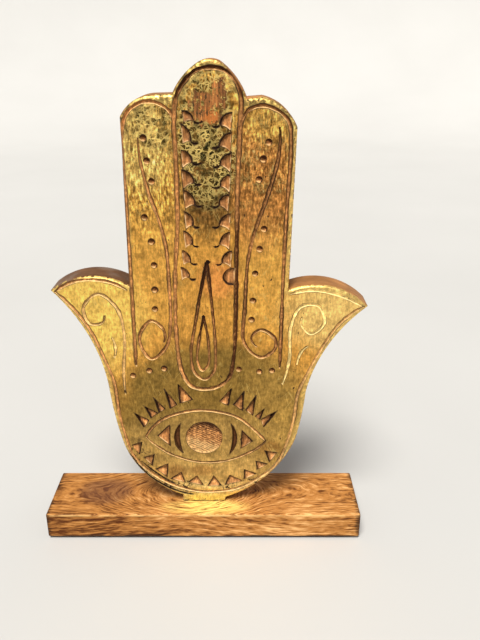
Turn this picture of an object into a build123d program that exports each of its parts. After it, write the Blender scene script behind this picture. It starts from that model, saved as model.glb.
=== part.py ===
from build123d import *
from math import cos, radians, sin, tan
import os

os.makedirs("parts", exist_ok=True)

# Sizes are in millimetres. The plinth is centred on the origin and the pads stand on Z = 0.

# Plinth: one block of wood with eased edges
BASE_LENGTH = 230.0
BASE_DEPTH = 52.0
BASE_HEIGHT = 20.0
BASE_EDGE_ROUND = 1.2

# Clear bumpers under the plinth's corners
PAD_DIAMETER = 8.0
PAD_HEIGHT = 1.8
PAD_EDGE_ROUND = 0.5
PAD_END_INSET = 9.0
PAD_SIDE_INSET = 7.0

# Hand board and the metal leaf on its front
HAND_THICKNESS = 22.0
HAND_SHIFT = 7.2
LEAF_THICKNESS = 0.2

# Wood screws, up through the plinth into the hand's foot
SCREW_LENGTH = 40.0
SCREW_DIAMETER = 4.0
SCREW_POINT_LENGTH = 6.0
SCREW_HEAD_DIAMETER = 8.0
SCREW_HEAD_HEIGHT = 2.4
SCREW_RECESS = 1.5
SCREW_SPACING = 17.0
SCREW_CLEARANCE = 0.15
CROSS_LENGTH = 4.6
CROSS_WIDTH = 0.9
CROSS_DEPTH = 1.6

# Outline of the hand, sawn by eye and not quite symmetric.
# X runs from the hand's axis and height from the plinth's top.
FOOT_LEFT = -23.0
FOOT_RIGHT = 9.0
FOOT_RISE_LEFT = 5.5
FOOT_RISE_RIGHT = 3.2
BOWL_LEFT = (-65.0, 53.2)
BOWL_RIGHT = (59.5, 54.0)
WAIST_LEFT = (-71.5, 95.0)
WAIST_RIGHT = (65.6, 92.0)
THUMB_TIP_LEFT = (-104.5, 167.7)
THUMB_TIP_RIGHT = (104.3, 156.6)
CROTCH_LEFT = (-52.8, 171.2)
CROTCH_RIGHT = (51.6, 168.3)
SHOULDER_LEFT = (-51.7, 277.0)
SHOULDER_RIGHT = (54.0, 271.0)
FINGERTIP_LEFT = (-31.0, 289.5)
FINGERTIP_RIGHT = (33.0, 288.2)
NOTCH_LEFT = (-20.3, 289.8)
NOTCH_RIGHT = (23.7, 287.5)
MIDDLE_TIP_LEFT = (-3.5, 308.0)
MIDDLE_TIP_RIGHT = (7.5, 308.0)

# Rise of the outline's arcs over their chords
BOWL_BULGE = 8.0
FLANK_BULGE = 0.8
WAIST_HOLLOW = 6.6
THUMB_CROWN = 8.2
SHOULDER_BULGE = 3.4
MIDDLE_SIDE_BULGE = 2.0
MIDDLE_TIP_BULGE = 1.2
BORDER_BOTTOM_BULGE = 1.5

# Share of each run that a rounded corner takes up
CORNER_SHARE = 0.49

# Gouged lines, drilled dots and knife-cut chips
GROOVE_WIDTH = 2.2
GROOVE_DEPTH = 1.4
BORDER_INSET = 3.4
DOT_DIAMETER = 3.2
DOT_DEPTH = 1.5
CHIP_DEPTH = 2.0

# Round-topped frames on the three fingers
FRAME_FOOT_LEFT = (-51.3, 115.0)
FRAME_FOOT_RIGHT = (46.8, 113.0)
FRAME_SIDE_LEFT = (-50.2, 272.5)
FRAME_SIDE_RIGHT = (50.4, 267.5)
FRAME_TOP_LEFT = (-35.5, 285.6)
FRAME_TOP_RIGHT = (33.5, 283.4)
FRAME_BULGE = 3.8
MIDDLE_SPRING_LEFT = (-19.4, 272.0)
MIDDLE_SPRING_RIGHT = (19.4, 268.0)
MIDDLE_WAIST_LEFT = (-22.6, 165.0)
MIDDLE_WAIST_RIGHT = (17.2, 190.0)
MIDDLE_BOWL_LEFT = (-21.6, 117.0)
MIDDLE_BOWL_RIGHT = (15.2, 115.0)
MIDDLE_FRAME_TOP = (1.8, 304.5)
MIDDLE_FRAME_BOTTOM = (-4.0, 95.4)

# Eye
EYE_CENTRE = (-5.0, 56.0)
EYE_LENGTH = 86.0
EYE_UPPER = 22.4
EYE_LOWER = 21.4
IRIS_DIAMETER = 26.0
IRIS_DEPTH = 2.0
CRESCENT_OFFSET = 17.5
CRESCENT_HEIGHT = 24.5
CRESCENT_INNER_BULGE = 1.8
CRESCENT_OUTER_BULGE = 4.6
CORNER_CHIP_OFFSET = 25.3
CORNER_CHIP_LENGTH = 9.2
CORNER_CHIP_HEIGHT = 17.4

# Lashes: chips that fan out above the eye, alike on both sides of its centre
LASH_COUNT = 5
LASH_FIRST_TIP = (19.0, 42.7)
LASH_STEP = 8.0
LASH_FALL = 5.2
LASH_LENGTH = 15.4
LASH_SHORTENING = 0.8
LASH_WIDTH = 7.4
LASH_FIRST_LEAN = 22.0
LASH_LEAN_STEP = 5.0

# Teeth: chips in an arc inside the bowl's border, pointing at the eye
TOOTH_COUNT = 10
TOOTH_ARC_RADIUS = 57.0
TOOTH_ARC_CENTRE = (-6.0, 73.0)
TOOTH_FIRST_ANGLE = -151.0
TOOTH_LAST_ANGLE = -34.0
TOOTH_WIDTH = 10.4
TOOTH_HEIGHT = 9.4

# Teardrop in the palm: a line round a smaller one
TEAR_TIP = (-1.8, 186.7)
TEAR_BOTTOM = (-5.2, 103.0)
TEAR_WIDTH = 16.6
TEAR_INNER_TIP = (-4.6, 148.7)
TEAR_INNER_BOTTOM = (-5.8, 109.6)
TEAR_INNER_WIDTH = 8.6

# Scallops: two columns of thumbnail cuts down the middle finger
SCALLOP_ROWS = 9
SCALLOP_PITCH = 12.25
SCALLOP_TOP = 280.0
SCALLOP_AXIS = -0.6
SCALLOP_REACH = 14.6
SCALLOP_WIDTH = 8.2
SCALLOP_DROP = 7.6
SCALLOP_HEIGHT = 9.4
SCALLOP_BULGE = 1.8

# Lines that run down the side fingers into a curl
LEFT_CURL = [
    (-41.3, 262.0), (-40.0, 244.0), (-33.6, 222.0), (-28.2, 204.0), (-26.6, 184.0), (-26.6, 140.0),
    (-29.0, 127.0), (-41.0, 116.6), (-49.0, 128.0), (-47.6, 142.0), (-39.4, 149.0), (-31.0, 142.6),
    (-31.4, 131.0),
]
RIGHT_CURL = [
    (43.3, 268.0), (43.4, 255.0), (38.4, 234.0), (31.4, 216.0), (26.0, 199.0), (23.4, 174.0),
    (22.3, 134.0), (23.6, 124.6), (33.4, 117.6), (43.2, 122.4), (44.6, 133.0), (36.0, 141.6),
    (27.4, 138.6), (26.8, 133.0), (30.0, 128.6),
]

# Scrolls on the thumbs, and the short leaf stroke beside each
LEFT_SCROLL = [
    (-60.2, 94.0), (-60.2, 114.0), (-58.0, 138.0), (-58.6, 152.0), (-66.0, 164.6), (-76.0, 167.6),
    (-84.6, 156.6), (-83.4, 144.0), (-74.6, 142.0), (-70.2, 150.6),
]
RIGHT_SCROLL = [
    (49.4, 101.0), (53.0, 115.0), (54.0, 136.0), (54.6, 150.0), (62.6, 160.0), (74.4, 157.4),
    (77.2, 142.4), (67.6, 135.8), (60.2, 141.0), (61.0, 149.4),
]
LEFT_LEAF = [(-66.0, 133.6), (-64.6, 128.0), (-65.3, 121.6)]
RIGHT_LEAF = [(65.4, 127.8), (60.4, 122.4), (58.7, 114.6)]

# Drilled dots on the fingers and across the palm
LEFT_FINGER_DOTS = [
    (-38.3, 265.0), (-37.0, 251.6), (-34.7, 239.2), (-40.0, 216.8),
    (-36.6, 201.0), (-35.7, 185.6), (-36.0, 168.6), (-36.5, 155.2),
]
RIGHT_FINGER_DOTS = [
    (37.0, 262.6), (33.8, 252.6), (31.3, 240.4), (34.8, 209.4),
    (32.2, 196.2), (29.5, 179.9), (28.2, 161.2), (27.3, 147.7),
]
PALM_DOTS = [
    (-54.0, 106.0), (-42.5, 109.6), (-32.4, 111.2),
    (18.8, 110.7), (33.0, 109.0), (41.7, 109.8),
]

# Places that follow from the sizes above
BASE_TOP = PAD_HEIGHT + BASE_HEIGHT
CUT_RISE = 2 * LEAF_THICKNESS
SCREW_HEAD_Z = PAD_HEIGHT + SCREW_RECESS
SCREW_CENTRE_X = HAND_SHIFT + (FOOT_LEFT + FOOT_RIGHT) / 2
PAD_X = BASE_LENGTH / 2 - PAD_END_INSET
PAD_Y = BASE_DEPTH / 2 - PAD_SIDE_INSET

# Front of the bare wood, under the leaf: local X is X, local Y is height, local Z points to the viewer
WOOD_FRONT = Plane(
    origin=(HAND_SHIFT, LEAF_THICKNESS - HAND_THICKNESS / 2, BASE_TOP),
    x_dir=(1, 0, 0),
    z_dir=(0, -1, 0),
)


def bulged_edges(rows):
    """Edges from point to point: each row gives a point and how far the arc after it rises to its left."""
    edges = []
    for (start, rise), (end, _) in zip(rows, rows[1:]):
        edges.append(SagittaArc(start, end, rise) if rise else Line(start, end))
    return edges


def rounded_path(points):
    """A smooth line inside a polygon's corners, each arc as large as its two runs allow."""
    runs = [Vector(end) - Vector(start) for start, end in zip(points, points[1:])]
    radii = []
    for before, after in zip(runs, runs[1:]):
        half_turn = radians(before.get_angle(after) / 2)
        radii.append(CORNER_SHARE * min(before.length, after.length) / tan(half_turn))
    return FilletPolyline(*points, radius=radii)


def open_groove(line):
    """The strip that a gouge clears along an open line, with round ends."""
    return make_face(line.offset_2d(GROOVE_WIDTH / 2).edges())


def closed_groove(edges):
    """The band that a gouge clears along a closed line."""
    shape = make_face(edges)
    return offset(shape, GROOVE_WIDTH / 2) - offset(shape, -GROOVE_WIDTH / 2)


def right_rows():
    """Right thumb and right half of the bowl as points with bulges, clockwise from the fingers down."""
    return [
        (CROTCH_RIGHT, THUMB_CROWN),
        (THUMB_TIP_RIGHT, -WAIST_HOLLOW),
        (WAIST_RIGHT, FLANK_BULGE),
        (BOWL_RIGHT, BOWL_BULGE),
    ]


def left_rows():
    """Left half of the bowl and left thumb as points with bulges, clockwise from the foot up."""
    return [
        ((FOOT_LEFT, FOOT_RISE_LEFT), BOWL_BULGE),
        (BOWL_LEFT, FLANK_BULGE),
        (WAIST_LEFT, -WAIST_HOLLOW),
        (THUMB_TIP_LEFT, THUMB_CROWN),
    ]


def finger_rows():
    """The three fingers as points with bulges, clockwise from the left thumb to the right one."""
    return [
        (CROTCH_LEFT, 0),
        (SHOULDER_LEFT, SHOULDER_BULGE),
        (FINGERTIP_LEFT, 0),
        (NOTCH_LEFT, MIDDLE_SIDE_BULGE),
        (MIDDLE_TIP_LEFT, MIDDLE_TIP_BULGE),
        (MIDDLE_TIP_RIGHT, MIDDLE_SIDE_BULGE),
        (NOTCH_RIGHT, 0),
        (FINGERTIP_RIGHT, SHOULDER_BULGE),
        (SHOULDER_RIGHT, 0),
        (CROTCH_RIGHT, 0),
    ]


def hand_outline():
    """The sawn outline: bowl, thumbs and fingers, with a flat foot under the bowl."""
    foot = [((FOOT_RIGHT, FOOT_RISE_RIGHT), 0), ((FOOT_RIGHT, 0), 0), ((FOOT_LEFT, 0), 0)]
    return make_face(bulged_edges(right_rows() + foot + left_rows() + finger_rows()))


def palm_border():
    """Groove along the thumbs and the bowl, open where the fingers stand."""
    bottom = [((FOOT_RIGHT, FOOT_RISE_RIGHT), BORDER_BOTTOM_BULGE)]
    knuckles = [(CROTCH_LEFT, 0), (CROTCH_RIGHT, 0)]
    palm = make_face(bulged_edges(right_rows() + bottom + left_rows() + knuckles))
    band = offset(palm, -BORDER_INSET, kind=Kind.INTERSECTION)
    band -= offset(palm, -BORDER_INSET - GROOVE_WIDTH, kind=Kind.INTERSECTION)
    return band - Polygon(CROTCH_LEFT, FRAME_FOOT_LEFT, FRAME_FOOT_RIGHT, CROTCH_RIGHT, align=None)


def finger_frames():
    """Grooves that frame the fingers: an arch on each side and a long loop down the middle."""
    left = bulged_edges([
        (FRAME_FOOT_LEFT, 0),
        (FRAME_SIDE_LEFT, FRAME_BULGE),
        (FRAME_TOP_LEFT, FRAME_BULGE),
        (MIDDLE_SPRING_LEFT, 0),
    ])
    right = bulged_edges([
        (MIDDLE_SPRING_RIGHT, FRAME_BULGE),
        (FRAME_TOP_RIGHT, FRAME_BULGE),
        (FRAME_SIDE_RIGHT, 0),
        (FRAME_FOOT_RIGHT, 0),
    ])
    middle = [
        Polyline(MIDDLE_BOWL_LEFT, MIDDLE_WAIST_LEFT, MIDDLE_SPRING_LEFT),
        ThreePointArc(MIDDLE_SPRING_LEFT, MIDDLE_FRAME_TOP, MIDDLE_SPRING_RIGHT),
        Polyline(MIDDLE_SPRING_RIGHT, MIDDLE_WAIST_RIGHT, MIDDLE_BOWL_RIGHT),
        ThreePointArc(MIDDLE_BOWL_RIGHT, MIDDLE_FRAME_BOTTOM, MIDDLE_BOWL_LEFT),
    ]
    return [open_groove(Wire(left)), open_groove(Wire(right)), closed_groove(middle)]


def teardrop(tip, bottom, width):
    """Groove round a drop: straight sides from the tip, run into a round end."""
    radius = width / 2
    left = (bottom[0] - radius, bottom[1] + radius)
    right = (bottom[0] + radius, bottom[1] + radius)
    return closed_groove([Line(tip, left), ThreePointArc(left, bottom, right), Line(right, tip)])


def eye_lines():
    """The almond round the eye, and a crescent on each side of the iris."""
    x, height = EYE_CENTRE
    left = (x - EYE_LENGTH / 2, height)
    right = (x + EYE_LENGTH / 2, height)
    upper_lid = ThreePointArc(left, (x, height + EYE_UPPER), right)
    lower_lid = ThreePointArc(right, (x, height - EYE_LOWER), left)
    regions = [closed_groove([upper_lid, lower_lid])]
    for side in (-1, 1):
        end_x = x + side * CRESCENT_OFFSET
        top = (end_x, height + CRESCENT_HEIGHT / 2)
        foot = (end_x, height - CRESCENT_HEIGHT / 2)
        outer = ThreePointArc(top, (end_x + side * CRESCENT_OUTER_BULGE, height), foot)
        inner = ThreePointArc(foot, (end_x + side * CRESCENT_INNER_BULGE, height), top)
        regions.append(make_face([outer, inner]))
    return regions


def scallops():
    """Thumbnail cuts: a curved edge falls from the outside towards the finger's middle, over a slanting foot."""
    regions = []
    for row in range(SCALLOP_ROWS):
        height = SCALLOP_TOP - row * SCALLOP_PITCH
        for side in (-1, 1):
            outside = SCALLOP_AXIS + side * SCALLOP_REACH
            top = (outside, height)
            inside = (outside - side * SCALLOP_WIDTH, height - SCALLOP_DROP)
            foot = (outside, height - SCALLOP_HEIGHT)
            edges = [SagittaArc(top, inside, side * SCALLOP_BULGE), Line(inside, foot), Line(foot, top)]
            regions.append(make_face(edges))
    return regions


def pointed_chip(base, lean, length, width):
    """Corners of a slim triangle: its base's middle, its tilt from upright in degrees, and its size."""
    along = Vector(sin(radians(lean)), cos(radians(lean)))
    across = Vector(along.Y, -along.X) * (width / 2)
    return base - across, base + across, base + along * length


def eye_chips():
    """Triangles at the eye's two corners, and the lashes above its lid."""
    centre = Vector(EYE_CENTRE)
    triangles = []
    for side in (-1, 1):
        corner = centre + Vector(side * CORNER_CHIP_OFFSET, 0)
        triangles.append(pointed_chip(corner, side * 90, CORNER_CHIP_LENGTH, CORNER_CHIP_HEIGHT))
        for index in range(LASH_COUNT):
            tip_x = side * (LASH_FIRST_TIP[0] + index * LASH_STEP)
            tip = centre + Vector(tip_x, LASH_FIRST_TIP[1] - index * LASH_FALL)
            lean = side * (LASH_FIRST_LEAN + index * LASH_LEAN_STEP)
            length = LASH_LENGTH - index * LASH_SHORTENING
            base = tip - Vector(sin(radians(lean)), cos(radians(lean))) * length
            triangles.append(pointed_chip(base, lean, length, LASH_WIDTH))
    return triangles


def tooth_chips():
    """Triangles in an arc along the bowl, each pointing at the arc's centre."""
    step = (TOOTH_LAST_ANGLE - TOOTH_FIRST_ANGLE) / (TOOTH_COUNT - 1)
    triangles = []
    for index in range(TOOTH_COUNT):
        angle = TOOTH_FIRST_ANGLE + index * step
        outwards = Vector(cos(radians(angle)), sin(radians(angle)))
        base = Vector(TOOTH_ARC_CENTRE) + outwards * TOOTH_ARC_RADIUS
        triangles.append(pointed_chip(base, -90 - angle, TOOTH_HEIGHT, TOOTH_WIDTH))
    return triangles


def chip_cut(corners):
    """Three-sided pocket: slopes fall from a triangle on the wood to one deepest point under its middle."""
    deepest = (corners[0] + corners[1] + corners[2]) / 3
    spread = (CHIP_DEPTH + CUT_RISE) / CHIP_DEPTH
    rim = [deepest + (corner - deepest) * spread for corner in corners]
    top = Pos(0, 0, CUT_RISE) * Polygon(*[(point.X, point.Y) for point in rim], align=None)
    return loft([top.face(), Vertex(deepest.X, deepest.Y, -CHIP_DEPTH)])


def pit(x, height, diameter, depth):
    """Round pocket with a flat floor."""
    top = Pos(x, height, CUT_RISE) * Circle(diameter / 2)
    return extrude(top, -depth - CUT_RISE)


def carving():
    """Everything that is cut into the front, standing a little proud of the leaf."""
    lines = [palm_border()] + finger_frames() + eye_lines() + scallops()
    lines.append(teardrop(TEAR_TIP, TEAR_BOTTOM, TEAR_WIDTH))
    lines.append(teardrop(TEAR_INNER_TIP, TEAR_INNER_BOTTOM, TEAR_INNER_WIDTH))
    for points in (LEFT_CURL, RIGHT_CURL, LEFT_SCROLL, RIGHT_SCROLL, LEFT_LEAF, RIGHT_LEAF):
        lines.append(open_groove(rounded_path(points)))
    line_work = Sketch() + lines
    cuts = [extrude(Pos(0, 0, CUT_RISE) * line_work, -GROOVE_DEPTH - CUT_RISE)]
    cuts += [chip_cut(corners) for corners in eye_chips() + tooth_chips()]
    cuts.append(pit(*EYE_CENTRE, IRIS_DIAMETER, IRIS_DEPTH))
    for dot in LEFT_FINGER_DOTS + RIGHT_FINGER_DOTS + PALM_DOTS:
        cuts.append(pit(*dot, DOT_DIAMETER, DOT_DEPTH))
    return [WOOD_FRONT * cut for cut in cuts]


def screw_body(extra):
    """Turned form of a screw, head down and point up, larger all round by extra."""
    head = SCREW_HEAD_DIAMETER / 2 + extra
    shank = SCREW_DIAMETER / 2 + extra
    tip_z = SCREW_HEAD_Z + SCREW_LENGTH
    outline = Polyline(
        (0, SCREW_HEAD_Z - extra),
        (head, SCREW_HEAD_Z - extra),
        (shank, SCREW_HEAD_Z + SCREW_HEAD_HEIGHT),
        (shank, tip_z - SCREW_POINT_LENGTH),
        (0, tip_z + extra),
        close=True,
    )
    return revolve(Plane.XZ * make_face(outline.edges()), Axis.Z)


def screw_hole():
    """Hole for a screw, with the recess under its head open to below the plinth."""
    recess_radius = SCREW_HEAD_DIAMETER / 2 + SCREW_CLEARANCE
    recess = Pos(0, 0, SCREW_HEAD_Z / 2) * Cylinder(recess_radius, SCREW_HEAD_Z)
    return screw_body(SCREW_CLEARANCE) + recess


def at_screws(shape):
    """Copies of a shape at the two screws' places."""
    return [Pos(SCREW_CENTRE_X + side * SCREW_SPACING / 2, 0, 0) * shape for side in (-1, 1)]


def fixing_screws():
    """Two countersunk screws with a cross recess in the head."""
    screw = screw_body(0)
    for turn in (0, 90):
        slot = Box(CROSS_LENGTH, CROSS_WIDTH, 2 * CROSS_DEPTH)
        screw -= Pos(0, 0, SCREW_HEAD_Z) * Rot(0, 0, turn) * slot
    return at_screws(screw)


def base_block(screw_holes):
    """The plinth: a block with eased edges, bored for the screws from below."""
    block = Box(BASE_LENGTH, BASE_DEPTH, BASE_HEIGHT)
    block = fillet(block.edges(), BASE_EDGE_ROUND)
    return Pos(0, 0, PAD_HEIGHT + BASE_HEIGHT / 2) * block - screw_holes


def base_pad(side_x, side_y):
    """One bumper under a corner, with its lower edge rounded."""
    pad = Cylinder(PAD_DIAMETER / 2, PAD_HEIGHT)
    pad = fillet(pad.edges().sort_by(Axis.Z)[:1], PAD_EDGE_ROUND)
    return Pos(side_x * PAD_X, side_y * PAD_Y, PAD_HEIGHT / 2) * pad


cuts = carving()
outline = hand_outline()
screw_holes = at_screws(screw_hole())
wood = extrude(WOOD_FRONT * outline, LEAF_THICKNESS - HAND_THICKNESS)
leaf = extrude(WOOD_FRONT * outline, LEAF_THICKNESS)

nodes = {
    "base_block": base_block(screw_holes),
    "hand_panel": wood - cuts - screw_holes,
    "front_gold_leaf": leaf - cuts,
    "fixing_screws": Compound(children=fixing_screws()),
    "pad_front_left": base_pad(-1, -1),
    "pad_front_right": base_pad(1, -1),
    "pad_rear_left": base_pad(-1, 1),
    "pad_rear_right": base_pad(1, 1),
}
for name, shape in nodes.items():
    export_step(shape, f"parts/{name}.step")
    print(name, len(shape.solids()), "solids", round(shape.volume, 1), "cubic mm")
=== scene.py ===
# %% [markdown]
# # A carved and gilded hand on a wooden plinth
#
# This lesson dresses a packed CAD part. The real object is a board sawn to the outline of an open hand,
# covered with metal leaf on its front, carved through the leaf with gouge, knife and drill, and screwed to
# a plinth of golden brown wood. The frame gives the place and size of every piece. Here the front gets its
# carving, and every piece its finish.

# %% Load the frame
import math
from functools import partial, reduce

import bpy
import numpy as np
from mathutils.geometry import delaunay_2d_cdt
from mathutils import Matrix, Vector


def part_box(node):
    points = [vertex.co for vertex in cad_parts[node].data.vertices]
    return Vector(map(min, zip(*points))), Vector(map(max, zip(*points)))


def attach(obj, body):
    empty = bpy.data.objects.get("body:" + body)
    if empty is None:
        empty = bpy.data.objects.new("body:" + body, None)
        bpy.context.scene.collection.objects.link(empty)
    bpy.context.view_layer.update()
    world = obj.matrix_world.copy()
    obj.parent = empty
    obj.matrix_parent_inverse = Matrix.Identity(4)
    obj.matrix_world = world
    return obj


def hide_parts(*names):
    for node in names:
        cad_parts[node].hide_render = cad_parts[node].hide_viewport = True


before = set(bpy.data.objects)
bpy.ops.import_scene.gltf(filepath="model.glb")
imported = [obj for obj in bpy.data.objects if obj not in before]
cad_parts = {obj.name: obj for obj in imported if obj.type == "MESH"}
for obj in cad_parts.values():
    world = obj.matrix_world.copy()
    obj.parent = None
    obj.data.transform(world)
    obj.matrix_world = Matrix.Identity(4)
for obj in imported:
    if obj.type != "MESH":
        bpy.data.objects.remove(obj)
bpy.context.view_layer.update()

print("CAD nodes:", sorted(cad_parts))

# %% [markdown]
# ## From the drawing to the frame
#
# The carving is drawn the way a carver would draw it: on a sheet of paper with X measured from the hand's
# own axis and height measured from the table, both in millimetres. Four numbers carry the drawing into the
# scene: where the axis stands, where the board's front and back lie, and how high its foot is. All but the
# first are read from the frame.

# %% Measure the hand
MM = 0.001
HAND_AXIS_X = 7.2
leaf_low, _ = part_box("front_gold_leaf")
board_low, board_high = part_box("hand_panel")
BOARD_FRONT_Y = board_low[1] / MM
BOARD_BACK_Y = board_high[1] / MM
FOOT_Z = board_low[2] / MM
print(f"leaf front {leaf_low[1] / MM:.2f} mm, foot {FOOT_Z:.2f} mm")
print(f"board {BOARD_FRONT_Y:.2f} to {BOARD_BACK_Y:.2f} mm")

# %% [markdown]
# ## Lines on the drawing
#
# Two kinds of line are enough. The sawn outline is a chain of circular arcs, each given by its end and by
# how far it bulges to the left of its direction. A gouged line is a smooth curve through a few points, as a
# hand draws it. Both come back as points at an even spacing, because later steps need even steps along the
# line.

# %% Curves
def even_steps(line, step):
    """Resamples a polyline at equal steps along its length: positions are looked up by distance travelled."""
    travelled = np.concatenate([[0.0], np.cumsum(np.hypot(*np.diff(line, axis=0).T))])
    places = np.linspace(0.0, travelled[-1], max(2, round(travelled[-1] / step) + 1))
    return np.stack([np.interp(places, travelled, line[:, k]) for k in range(2)], 1)


def arc(start, end, bulge, step):
    """Points on a circular arc, for t from -a to a, where a is its half angle.

    Along the chord a point lies at R sin(t), and beside the chord at R (cos(t) - cos(a)).
    """
    start, end = np.array(start, float), np.array(end, float)
    chord = end - start
    length = np.hypot(*chord)
    half = 2 * math.atan2(2 * (bulge or 1e-6), length)
    radius = length / (2 * math.sin(half))
    turn = np.linspace(-half, half, max(2, round(abs(radius * 2 * half) / step) + 1))
    along = chord / length
    left = np.array([-along[1], along[0]])
    middle = (start + end) / 2
    aside = radius * (np.cos(turn) - math.cos(half))
    return middle + np.outer(radius * np.sin(turn), along) + np.outer(aside, left)


def drawn(points, closed, step):
    """A smooth curve through points: cubic pieces, each slope that of the parabola through three."""
    points = np.array(points, float)
    if closed:
        points = np.concatenate([points[-2:], points, points[:3]])
    knots = np.concatenate([[0.0], np.cumsum(np.sqrt(np.hypot(*np.diff(points, axis=0).T)))])
    slope = np.diff(points, axis=0) / np.diff(knots)[:, None]
    before, after = np.diff(knots)[:-1, None], np.diff(knots)[1:, None]
    inner = (slope[:-1] * after + slope[1:] * before) / (before + after)
    tangent = np.concatenate([2 * slope[:1] - inner[:1], inner, 2 * slope[-1:] - inner[-1:]])
    first, last = (2, len(points) - 2) if closed else (0, len(points))
    t = np.linspace(knots[first], knots[last - 1], 40 * (last - first))
    index = np.clip(np.searchsorted(knots, t, "right") - 1, 0, len(knots) - 2)
    width = np.diff(knots)[index][:, None]
    u = (t[:, None] - knots[index][:, None]) / width
    line = (2 * u**3 - 3 * u**2 + 1) * points[index] + (u**3 - 2 * u**2 + u) * width * tangent[index]
    line += (3 * u**2 - 2 * u**3) * points[index + 1] + (u**3 - u**2) * width * tangent[index + 1]
    return even_steps(line, step)


# %% [markdown]
# ## The sawn outline
#
# The hand was sawn by eye, so its two halves differ: the left thumb sits higher than the right one, and the
# fingers lean a little. The rows below give each corner of the outline and the bulge of the arc that
# follows it, clockwise as seen from the front.

# %% Outline of the hand
OUTLINE_ROWS = [
    ((51.6, 190.1), 8.2),       # right crotch, over the right thumb
    ((104.3, 178.4), -6.6),     # right thumb tip, into the waist
    ((65.6, 113.8), 0.8),       # right waist
    ((59.5, 75.8), 8.0),        # right side of the bowl
    ((9.0, 25.0), 0.0),         # foot
    ((9.0, 21.8), 0.0),
    ((-23.0, 21.8), 0.0),
    ((-23.0, 27.3), 8.0),
    ((-65.0, 75.0), 0.8),       # left side of the bowl
    ((-71.5, 116.8), -6.6),     # left waist
    ((-104.5, 189.5), 8.2),     # left thumb tip
    ((-52.8, 193.0), 0.0),      # left crotch, up the left finger
    ((-51.7, 298.8), 3.4),
    ((-31.0, 311.3), 0.0),
    ((-20.3, 311.6), 2.0),      # notch, up the middle finger
    ((-3.5, 329.8), 1.2),
    ((7.5, 329.8), 2.0),
    ((23.7, 309.3), 0.0),       # notch, down the right finger
    ((33.0, 310.0), 3.4),
    ((54.0, 292.8), 0.0),
]


def outline_loop(step):
    """All arcs of the outline end to end, as one closed chain of points with no point twice."""
    ends = OUTLINE_ROWS[1:] + OUTLINE_ROWS[:1]
    return np.concatenate([arc(a, b, rise, step)[:-1] for (a, rise), (b, _) in zip(OUTLINE_ROWS, ends)])


RIM_STEP = 0.62
rim_loop = outline_loop(RIM_STEP)
print(f"outline: {len(rim_loop)} points, {np.ptp(rim_loop[:, 0]):.1f} by {np.ptp(rim_loop[:, 1]):.1f} mm")

# %% [markdown]
# ## Gouged lines
#
# A V-gouge pushed along a drawn line leaves a groove that is deepest in the middle and runs out at both
# ends. Each stroke below is its drawn points, its width, its depth, and its stain: how dark the wood in it
# has gone, from 0 for cream to 1 for dark brown. Where the stain changes across the hand or towards the top
# of a stroke, the change is painted shade and light. A slow wobble of the width stands for the chatter of a
# tool that is pushed by hand.

# %% Strokes of the palm and the thumbs
STROKES = []
STROKE_STEP, END_SHARE = 0.6, 0.40
# Ranges over which a stroke's stain changes, as painted shade and light: across the hand, where its low part
# ends, where its top begins
ACROSS, LOW_PART, TOP_PART = (-15, 15), (225, 255), (300, 315)


def stroke(points, width, depth, stain, closed=False, taper=5.0):
    """Keeps a gouged line: its points, half widths, depth and stain.

    The stain is one number, or two for the foot and the top, or three: in general, low on the right
    and at the top, where the changes are painted shade and light.
    """
    line = drawn(points, closed, STROKE_STEP)
    place = np.arange(len(line)) * STROKE_STEP
    half = np.full(len(line), width / 2)
    half *= 1 + 0.09 * np.sin(place * 0.83 + width) + 0.07 * np.sin(place * 0.31 + 2.0)
    if not closed and taper:
        to_end = np.minimum(place, place[::-1])
        half *= END_SHARE + (1 - END_SHARE) * np.clip(to_end / taper, 0, 1)
    x, z = line.T
    if np.size(stain) == 3:
        usual, lower, upper = stain
        low_right = np.interp(x, ACROSS, (0, 1)) * np.interp(z, LOW_PART, (1, 0))
        stain = usual + (lower - usual) * low_right + (upper - usual) * np.interp(z, TOP_PART, (0, 1))
    elif np.size(stain) == 2:
        stain = np.interp(z, (z.min(), z.max()), stain)
    STROKES.append((line, half, depth, np.broadcast_to(stain, len(line))))


# Border of the thumbs and the bowl, with thin slips of the tool beside it at the lower left
stroke([(-54.5, 190.3), (-65, 195.5), (-78, 197.4), (-90, 195.5), (-101.2, 189.3)], 2.0, 1.6, 0.42)
stroke([(-101.4, 189.0), (-90, 176.5), (-80, 160), (-73, 141), (-67.5, 123), (-65.5, 97), (-61.5, 75),
        (-57, 61), (-45, 47), (-30, 37), (-12, 31.3), (3, 31), (18, 34), (33, 43), (46, 55), (53.5, 74),
        (58, 95), (60, 113), (69, 136), (77, 152), (85, 165), (95, 175), (101.4, 178.4)],
       2.0, 1.6, (0.42, 0.30, 0.42))
stroke([(101.3, 178.5), (90, 184.5), (80, 188), (68, 190), (60, 189.3), (53, 187.6)], 2.0, 1.3, 0.0)
stroke([(-61.0, 66), (-55.8, 56.2), (-47.4, 45.4), (-38, 37.8), (-27, 31.8), (-15, 28.6)],
       1.0, 0.8, 1.1, taper=12)
stroke([(-52, 57.6), (-43, 48.6), (-33, 41.0), (-24, 36.4)], 0.8, 0.6, 1.1, taper=10)
# Scrolls and leaf strokes on the thumbs
stroke([(-60.2, 114), (-60.3, 130), (-58.2, 160), (-62, 178), (-73.5, 187.7), (-83.8, 178), (-80.5, 166.5),
        (-72.5, 167), (-70.3, 172)], 1.9, 1.3, 0.25, taper=14)
stroke([(49.3, 122), (53.3, 140), (53.8, 165), (60, 178.5), (71.5, 179), (76, 167), (67.5, 159), (60.5, 166),
        (61, 171)], 1.9, 1.2, 0.02, taper=14)
stroke([(-66.2, 156), (-64.7, 150), (-65.3, 143)], 1.7, 1.0, 0.15, taper=6)
stroke([(65.6, 149.8), (61.5, 146), (58.6, 136)], 1.7, 1.0, 0.0, taper=6)
print("strokes so far:", len(STROKES))

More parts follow.
